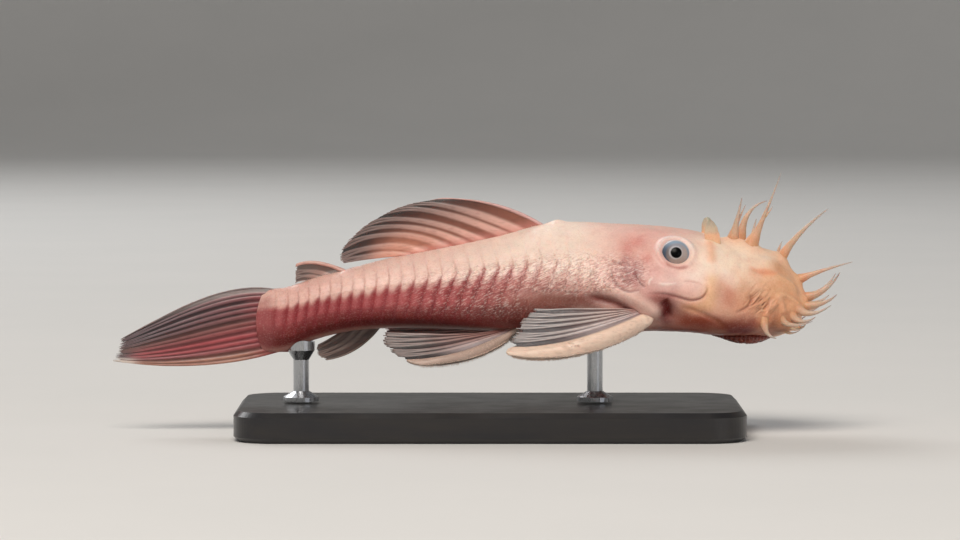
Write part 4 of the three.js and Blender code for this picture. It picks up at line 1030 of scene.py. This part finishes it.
# Tentacles
def tentacle(root, bend, tip, width, flare, taper, seed):
    """Points, faces and colours of one tentacle: a flared root, a smooth taper and a fine tip."""
    around, steps = 14, 40
    length = np.linalg.norm(np.array(tip) - np.array(root))
    t = np.linspace(-0.5 * width / length if width > TWIG else 0, 1, steps)
    centre = bezier(root, bend, tip, t)
    ahead = unit(bezier(root, bend, tip, t + 0.01) - bezier(root, bend, tip, t - 0.01))
    across = unit(np.array([0, 1, 0]) - ahead * ahead[:, 1:2])
    up = np.cross(ahead, across)
    out = buried_share(root, bend, tip)
    grown = np.clip(t, 0, 1)
    radius = width * (0.05 + 0.6 * (1 - grown) ** taper + flare * bell(grown * length, 2.6 * width))
    radius[-1] *= 0.4
    a = turns(around)
    ring = np.cos(a)[None, :, None] * up[:, None] + np.sin(a)[None, :, None] * across[:, None]
    points = centre[:, None] + ring * radius[:, None, None]
    swell = 1 + 0.05 * noise(points, 0.7, seed) + 0.05 * noise(points * [1, 1, 1.6], 0.35, seed + 1)
    points = centre[:, None] + ring * (radius[:, None] * swell)[..., None]
    share = np.repeat(np.clip((t - out) / (1 - out), 0, 1)[:, None], around, 1)
    colour = washed(
        plain(share.shape, "#dca27b"),
        ("#d0b096", smooth(0.06, 0.32, share)),
        ("#c1b3a5", smooth(0.35, 0.72, share)),
        ("#a09a96", smooth(0.72, 1.0, share)),
    )
    colour = np.clip(colour * (1 + 0.05 * noise(points, 0.8, seed + 2))[..., None], 0, 1)
    return closed_tube(points, colour, [centre[0], centre[-1]])


def joined(parts):
    """Several sets of points, faces and colours as one."""
    starts = np.cumsum([0] + [len(v) for v, _, _ in parts[:-1]])
    vertices = np.vstack([v for v, _, _ in parts])
    faces = np.vstack([f + s for (_, f, _), s in zip(parts, starts)])
    return vertices, faces, np.vstack([c for _, _, c in parts])


# A nostril flap: where its foot stands, its height, half its length and half its thickness.
FLAP = {"x": 37.0, "y": 5.1, "z": 30.9, "height": 4.9, "half": 1.28, "thick": 0.34}


def nostril_flap(side, seed):
    """An upright leaf between the two openings of a nostril."""
    rings, around = 24, 20
    v, a = np.meshgrid(np.linspace(0, 1, rings), turns(around), indexing="ij")
    rounded = np.sqrt(np.maximum(0.0, 1 - np.maximum(0, v - 0.25) ** 2 / 0.75**2))
    x = FLAP["x"] - 0.6 * v + (FLAP["half"] * rounded + 0.02) * np.cos(a)
    z = FLAP["z"] + FLAP["height"] * v
    y = FLAP["y"] + 0.35 * v + FLAP["thick"] * lerp(1.3, 0.45, v) * np.sin(a) + 0.28 * np.cos(a) ** 2
    points = np.stack([x, side * y, z], -1)
    points = points + 0.05 * noise(points, 0.6, seed)[..., None]
    colour = washed(
        plain(v.shape, "#f0c19d"),
        ("#d3c2a8", smooth(0.45, 0.62, v)),
        ("#a9ae9f", smooth(0.6, 0.95, v) * (0.6 + 0.4 * np.abs(np.cos(a)))),
    )
    return closed_tube(points, colour, [points[0].mean(0), points[-1].mean(0)])


def build_tentacles(material):
    parts = [tentacle(*spec, seed=40 + 3 * k) for k, spec in enumerate(TENTACLES.values())]
    parts += [nostril_flap(side, 30 + side) for side in (-1, 1)]
    return make_piece("snout_tentacles", *joined(parts), material, "skin")


# Mouth: a suction disc of two soft lips covered in small papillae. The lips reach from the slit
# out to `front`, `rear` and `half`. They are `thick` at their `deepest`, a little off the middle,
# and thin to the share `thin` of that at `dome` from there.
MOUTH = {
    "x": 42.4, "z": 16.3, "front": 4.9, "rear": 5.4, "half": 7.6,
    "slit_x": 0.8, "slit": 1.2, "slit_half": 3.9,
    "thick": 1.1, "thin": 0.1, "deepest": 0.1, "dome": 5.4,
}
PAPILLAE_HIGH = 0.26
FRILLS, FRILL_DEEP = 46, 0.11


def build_mouth(material):
    around, across = int(220 * DETAIL), int(72 * DETAIL)
    b, a = np.meshgrid(turns(across), turns(around), indexing="ij")
    out = 0.5 - 0.5 * np.cos(b)
    reach = np.where(np.cos(a) > 0, MOUTH["front"], MOUTH["rear"])
    inner_x = MOUTH["slit_x"] + MOUTH["slit"] * np.cos(a)
    x = MOUTH["x"] + lerp(inner_x, reach * np.cos(a), out)
    y = lerp(MOUTH["slit_half"] * np.sin(a), MOUTH["half"] * np.sin(a), out)
    fall = np.clip(1 - ((x - MOUTH["x"] - MOUTH["deepest"]) / MOUTH["dome"]) ** 2, 0, 1)
    dome = lerp(MOUTH["thin"], 1, fall**1.3)
    z = MOUTH["z"] - np.sin(b) * MOUTH["thick"] * np.where(np.sin(b) > 0, dome, 1.0)
    points = np.stack([x, y, z], -1)
    below = smooth(0.0, 0.5, np.sin(b))
    lumps = 1 - np.abs(noise(points * [1, 1, 0.3], 0.55, 61))
    raised = (0.02 + PAPILLAE_HIGH * lumps) * below * smooth(0.02, 0.25, out)
    points[..., 2] += PAPILLAE_HIGH * below - raised
    frill = FRILL_DEEP * smooth(0.86, 1.0, out) * np.cos(a * FRILLS)
    points[..., :2] += frill[..., None] * np.stack([np.cos(a), np.sin(a)], -1)
    # The lips' own red, darkened as painted shade under the head and darkest at the slit; paler on the
    # papillae.
    colour = washed(
        plain(x.shape, "#5a1d14"),
        ("#6e2c20", smooth(0.3, 0.8, out)),
        ("#43100b", smooth(0.25, 0.0, out)),
        ("#a9604c", 0.35 * below * smooth(0.6, 1.0, lumps)),
    )
    i, j = np.meshgrid(np.arange(across), np.arange(around), indexing="ij")
    i2, j2 = (i + 1) % across, (j + 1) % around
    corners = (i * around + j, i * around + j2, i2 * around + j2, i2 * around + j)
    vertices = points.reshape(-1, 3)
    faces = orient(vertices, np.stack(corners, -1).reshape(-1, 4))
    return make_piece("lips", vertices, faces, colour.reshape(-1, 3), material, "lips", ("mouth_disc",))


# Eyes
GAZE_UP = 0.55  # how far the pupil turns from straight sideways towards the eye socket's axis
EYE_COLOURS = {"pupil": "#010102", "inner": "#cdcace", "white": "#d3cdcf"}
# The iris and its rim change colour round the eye: ahead, above, behind and below the pupil.
IRIS_COLOURS = ("#b5a198", "#98969f", "#827674", "#ab958a")
RIM_COLOURS = ("#8e9dab", "#93a6ba", "#4b5869", "#66707f")
# How far the pupil, the pale ring round it, the iris and its rim reach from the gaze's axis.
PUPIL, INNER_RING, IRIS, EYE_EDGE = 0.92, 1.05, 1.7, 2.2


def all_round(codes, ahead, above):
    """A colour that changes with the direction from the pupil's middle."""
    shares = [np.maximum(0, share) ** 2 for share in (ahead, above, -ahead, -above)]
    return np.tensordot(shares, [tint(code) for code in codes], (0, 0))


def build_eye(name, side, material):
    """An eyeball in its socket, bulging a little at the pupil."""
    mirror = np.array([1, side, 1])
    outward = EYE_AXIS * mirror
    centre = EYE_SEAT * mirror + outward * (EYE["proud"] - EYE["radius"])
    axis = unit(lerp(np.array([0.02, side, 0.0]), outward, GAZE_UP))
    right = unit(np.cross([0, 0, 1], axis))
    up = np.cross(axis, right)
    rings, around = 64, 72
    angle, a = np.meshgrid(np.linspace(0.02, np.pi - 0.02, rings), turns(around), indexing="ij")
    off = EYE["radius"] * np.sin(np.minimum(angle, np.pi / 2))
    radius = EYE["radius"] * (1 + 0.02 * bell(angle, 0.7))
    spoke = np.cos(a)[..., None] * right + np.sin(a)[..., None] * up
    from_centre = np.sin(angle)[..., None] * spoke + np.cos(angle)[..., None] * axis
    points = centre + radius[..., None] * from_centre
    fibre = noise(np.stack([np.cos(a) * 6, np.sin(a) * 6, off], -1), 0.7, 71)
    ahead, above = -side * np.cos(a), np.sin(a)
    rim = smooth(EYE_EDGE + 0.16, EYE_EDGE - 0.04, off)
    white = plain(a.shape, EYE_COLOURS["white"])
    colour = lerp(white, all_round(RIM_COLOURS, ahead, above), rim[..., None])
    iris = smooth(IRIS + 0.3, IRIS - 0.15, off - 0.16 * ahead + 0.08 * above) * (0.86 + 0.14 * fibre)
    colour = lerp(colour, all_round(IRIS_COLOURS, ahead, above), iris[..., None])
    ring = smooth(INNER_RING + 0.16, INNER_RING - 0.06, off - 0.05 * above + 0.08 * ahead)
    colour = washed(colour, (EYE_COLOURS["inner"], 0.6 * ring))
    shadow = bell(off - EYE_EDGE, 0.13) * smooth(0.9, -0.4, ahead + above)
    colour = colour * (1 - 0.35 * shadow)[..., None]
    pupil = smooth(PUPIL + 0.045, PUPIL - 0.045, off)
    colour = washed(colour, (EYE_COLOURS["pupil"], pupil))
    poles = [centre + radius[0, 0] * axis, centre - radius[-1, 0] * axis]
    piece = name.replace("eye", "eyeball")
    return make_piece(piece, *closed_tube(points, colour, poles), material, "eye", (name,))


def eye_material():
    m = Shader("eye_wet")
    m.link(m.attribute("paint"), "Base Color")
    m.set(Roughness=0.3, Specular_IOR_Level=0.1, Coat_Weight=0.1, Coat_Roughness=0.05, Coat_IOR=1.3)
    return m.material


# Odontodes: tiny tooth-like spikes that cover the plates and the fins' stout spines. These are
# their counts at full detail and, in millimetres, how long and wide they are and how deep each
# goes into the skin. SPIKE_PATCH is a spike's place in the bake map, with the tip last.
ODONTODES = 26000
SPIKE_LENGTHS, SPIKE_WIDTHS = (0.16, 0.34), (0.024, 0.038)
BRISTLES = {"pectoral_fin": 3800, "pelvic_fin": 2400}
EDGE_BRISTLES, FACE_BRISTLES, BRISTLE_WIDTHS = (0.3, 0.55), (0.14, 0.26), (0.04, 0.065)
SPIKE_ROOT = 0.06
SPIKE_PATCH = np.array([(0, 0), (0.003, 0), (0, 0.003), (0.0015, 0.0015)])


def spikes(roots, outward, lean, length, width, colour, uv):
    """Closed three-sided spikes, each with its own small patch of the bake map."""
    side_a = unit(np.cross(outward, lean))
    side_b = np.cross(outward, side_a)
    corners = []
    for a in 2 * np.pi * np.arange(3) / 3:
        aside = math.cos(a) * side_a + math.sin(a) * side_b
        corners.append(roots - outward * SPIKE_ROOT + aside * width[:, None])
    tips = roots + unit(outward + lean) * length[:, None]
    vertices = np.stack([*corners, tips], 1).reshape(-1, 3)
    faces = np.array([(0, 1, 3), (1, 2, 3), (2, 0, 3), (2, 1, 0)])
    faces = (faces[None] + 4 * np.arange(len(roots))[:, None, None]).reshape(-1, 3)
    uvs = (uv[:, None] + SPIKE_PATCH[None]).reshape(-1, 2)
    shade = np.repeat(colour[:, None], 4, 1)
    shade[:, 3] = np.clip(shade[:, 3] * 1.08 + 0.03, 0, 1)
    return vertices, faces, shade.reshape(-1, 3), uvs


def plate_odontodes(count, rng):
    """Roots on the plates, thickest over the fore flank and along the plates' rear edges."""
    x = rng.uniform(-36.8, 27, count * 6)
    f = rng.uniform(0.0, 0.8, count * 6)
    side = rng.choice([-1, 1], count * 6)
    share, _ = plate_shares(x, f)
    flank = 1.2 * fuzz_cover(base_points(at_x(x), f), f)
    tail = smooth(0, -12, x) * 0.42
    rear = 0.45 + 0.55 * bell(np.minimum(share, 1 - share), 0.3)
    girth = field("half", at_x(x)) / WIDEST * 0.6 + 0.4
    keep = rng.uniform(0, 1, len(x)) < (0.12 + flank + tail) * rear * girth
    return x[keep][:count], f[keep][:count], side[keep][:count]


def build_odontodes(material):
    rng = np.random.default_rng(SEED)
    x, f, side = plate_odontodes(int(ODONTODES * DETAIL), rng)
    parts = []
    for s in (-1, 1):
        pick = side == s
        points, normals, fields = surface(at_x(x[pick]), f[pick], s)
        count = len(points)
        colour = skin_paint(points, fields)
        furry = fuzz_cover(points, f[pick])
        pale = rng.uniform(0, 1, (count, 1)) < 0.6
        reddish = washed(colour, ("#a8514f", np.full(count, 0.5)))
        colour = np.where(pale, np.clip(colour * 1.04 + 0.05, 0, 1), reddish)
        wander = rng.normal(0, 0.22, points.shape)
        slant = np.stack([-np.ones(count), 0 * furry, -0.12 - 0.33 * furry], -1)
        lean = unit(slant + wander) * rng.uniform(0.9, 1.9, (count, 1))
        length = rng.uniform(*SPIKE_LENGTHS, count) * (1 + 0.8 * furry)
        width = rng.uniform(*SPIKE_WIDTHS, count)
        uv = np.stack([(points[:, 0] + 42) / 100, 0.5 + 0.48 * s * f[pick]], 1)
        parts.append(spikes(points, normals, lean, length, width, colour, uv))
    mesh = joined([part[:3] for part in parts])
    uvs = np.vstack([part[3] for part in parts])
    return make_piece("plate_odontodes", *mesh, material, "skin", uv=uvs)


def build_fin_bristles(name, piece, side, material):
    """Short bristles over a fin's stout leading spine, longest along its outer edge."""
    rng = np.random.default_rng(SEED + len(piece) + side)
    fin = FINS[name]
    count = int(BRISTLES[name] * DETAIL)
    edge = rng.uniform(0, 1, count) < 0.5
    s = np.where(edge, rng.uniform(0, 0.06, count), rng.uniform(0.06, 0.9, count))
    v = rng.uniform(0.06, 0.985, count)
    face = rng.choice([-1.0, 1.0], count)
    u = s * spine_width(fin, v)
    reach = fin_reach(fin, u, v, 1.0)
    normals = fin_normals(fin["net"], u, reach)
    half = fin["spine"][2] * spine_profile(fin, u, v) * (1 - 0.62 * smooth(0.55, 1, v))
    roots = fin_points(fin["net"], u, reach) + normals * (face * half)[:, None]
    outer = unit(fin_points(fin["net"], u - 0.02, reach) - fin_points(fin["net"], u + 0.02, reach))
    tipward = unit(fin_points(fin["net"], u, reach + 0.02) - fin_points(fin["net"], u, reach - 0.02))
    from_face = face * np.where(edge, 0.25, 1.0)
    from_edge = np.where(edge, 1.0, 0.15)
    outward = unit(normals * from_face[:, None] + outer * from_edge[:, None])
    lean = tipward * rng.uniform(0.8, 1.6, (count, 1)) + rng.normal(0, 0.15, (count, 3))
    length = np.where(edge, rng.uniform(*EDGE_BRISTLES, count), rng.uniform(*FACE_BRISTLES, count))
    width = rng.uniform(*BRISTLE_WIDTHS, count)
    colour = np.clip(tint("#f2d9c8") * rng.uniform(0.9, 1.06, (count, 1)), 0, 1)
    uv = np.stack([0.02 + 0.9 * v, 0.05 + 0.4 * s + 0.48 * (face > 0)], 1)
    mirror = np.array([1, -side, 1])
    *mesh, uvs = spikes(roots * mirror, outward * mirror, lean * mirror, length, width, colour, uv)
    return make_piece(f"{piece}_bristles", *mesh, material, "fin", uv=uvs)


# Stand
def stand_materials():
    wood = Shader("stand_lacquer")
    grain = wood.noise(2.2, 5.0, (8, 1, 1))
    dark = wood.mixed("#17161a", "#26221f", wood.ranged(grain, 0.35, 0.7, 0.0, 1.0))
    wood.link(dark, "Base Color")
    wood.link(wood.ranged(wood.noise(6.0), 0.3, 0.7, 0.3, 0.42), "Roughness")
    wood.set(Specular_IOR_Level=0.5, Coat_Weight=0.25, Coat_Roughness=0.18)
    wood.bump(grain, 0.03, 0.3)
    steel = Shader("stand_steel")
    brushed = steel.noise(0.35, 3.0, (1, 1, 12))
    steel.link(steel.mixed("#a9acb0", "#c9cbce", brushed), "Base Color")
    steel.link(steel.ranged(brushed, 0.3, 0.7, 0.22, 0.38), "Roughness")
    steel.set(Metallic=1.0)
    steel.bump(brushed, 0.01, 0.3)
    for node, shader, slot in (
        ("stand_base", wood, "stand_wood"),
        ("stand_rod_front", steel, "stand_metal"),
        ("stand_rod_rear", steel, "stand_metal"),
    ):
        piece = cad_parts[node]
        piece.data.materials.clear()
        piece.data.materials.append(shader.material)
        piece.data.shade_smooth()
        piece.data.set_sharp_from_angle(angle=math.radians(35))


# Stage, light and camera
CAMERA = {"distance": 760.0, "elevation": 3.0}


def build_stage():
    """A pale floor that bends up into a low pale wall, far out all round the stand."""
    flat, bend, high, around = 1700.0, 600.0, 1300.0, 96
    curve = np.linspace(0, np.pi / 2, 16)
    profile = [(flat + bend * math.sin(a), bend - bend * math.cos(a)) for a in curve]
    profile.append((flat + bend, high))
    points = [(r * math.cos(t), r * math.sin(t), z) for r, z in profile for t in turns(around)]
    ring = [(k, (k + 1) % around) for k in range(around)]
    faces = [tuple(range(around))]
    for row in range(len(profile) - 1):
        low, up = row * around, (row + 1) * around
        faces += [(low + a, up + a, up + b, low + b) for a, b in ring]
    mesh = bpy.data.meshes.new("backdrop")
    mesh.from_pydata([tuple(c * MM for c in p) for p in points], [], faces)
    mesh.shade_smooth()
    backdrop = bpy.data.objects.new("backdrop", mesh)
    bpy.context.scene.collection.objects.link(backdrop)
    m = Shader("pale_floor")
    m.link(m.mixed("#dcdcda", "#e2e1df", m.noise(60.0)), "Base Color")
    m.set(Roughness=0.85, Specular_IOR_Level=0.2)
    mesh.materials.append(m.material)


def area_light(name, at, towards, size, power, colour):
    light = bpy.data.lights.new(name, "AREA")
    light.shape = "RECTANGLE"
    light.size, light.size_y = (s * MM for s in size)
    light.energy = power
    light.color = tint(colour)
    lamp = bpy.data.objects.new(name, light)
    bpy.context.scene.collection.objects.link(lamp)
    lamp.location = Vector(at) * MM
    aim = Vector(towards) * MM - lamp.location
    lamp.rotation_euler = aim.to_track_quat("-Z", "Y").to_euler()


def build_lights():
    centre = (0, 0, 26)
    area_light("key", (-190, -830, 1050), centre, (770, 580), 13.8, "#fff6ec")
    area_light("fill", (1050, -1050, 400), centre, (830, 830), 2.0, "#f2f6ff")
    area_light("rim", (-570, 930, 860), centre, (860, 500), 6.5, "#ffffff")
    world = bpy.data.worlds.new("studio")
    bpy.context.scene.world = world
    world.use_nodes = True
    world.node_tree.nodes["Background"].inputs["Color"].default_value = (0.75, 0.77, 0.8, 1)
    world.node_tree.nodes["Background"].inputs["Strength"].default_value = 0.2


def build_camera():
    """A long lens, level with the fish but for a few degrees, with the photograph's framing."""
    centre_x = (FRAME_WIDE / 2 - ORIGIN_PX[0]) / PX_PER_MM
    centre_z = (ORIGIN_PX[1] - FRAME_HIGH / 2) / PX_PER_MM
    data = bpy.data.cameras.new("camera")
    data.sensor_width = 36.0
    data.lens = data.sensor_width * CAMERA["distance"] / (FRAME_WIDE / PX_PER_MM)
    data.clip_start, data.clip_end = 0.01, 10.0
    camera = bpy.data.objects.new("camera", data)
    bpy.context.scene.collection.objects.link(camera)
    tilt = math.radians(CAMERA["elevation"])
    target = Vector((centre_x, 0, centre_z))
    back = Vector((0, -math.cos(tilt), math.sin(tilt)))
    camera.location = (target + back * CAMERA["distance"]) * MM
    camera.rotation_euler = (-back).to_track_quat("-Z", "Y").to_euler()
    bpy.context.scene.camera = camera


def main():
    view = bpy.context.scene.view_settings
    view.view_transform = "Standard"
    build_camera()
    build_stage()
    build_lights()
    skin = flesh_material("moist_skin", 0.14, 0.42, 0.3)
    tentacles = flesh_material("moist_tentacles", 0.12, 0.4, 0.45)
    lips = flesh_material("moist_lips", 0.2, 0.34, 0.35)
    spikes_skin = flesh_material("odontodes", 0.0, 0.4, 0.1)
    fin = fin_material("fin_rays_and_web")
    eye = eye_material()
    build_skin(skin)
    build_tentacles(tentacles)
    build_mouth(lips)
    for name, side in (("right", -1), ("left", 1)):
        build_eye(f"eye_{name}", side, eye)
        for fin_name in ("pectoral_fin", "pelvic_fin"):
            piece = f"{fin_name}_{name}"
            build_fin(fin_name, piece, side, fin)
            build_fin_bristles(fin_name, piece, side, spikes_skin)
    for fin_name in ("caudal_fin", "dorsal_fin", "adipose_fin", "anal_fin"):
        build_fin(fin_name, fin_name, -1, fin)
    build_odontodes(spikes_skin)
    stand_materials()


main()
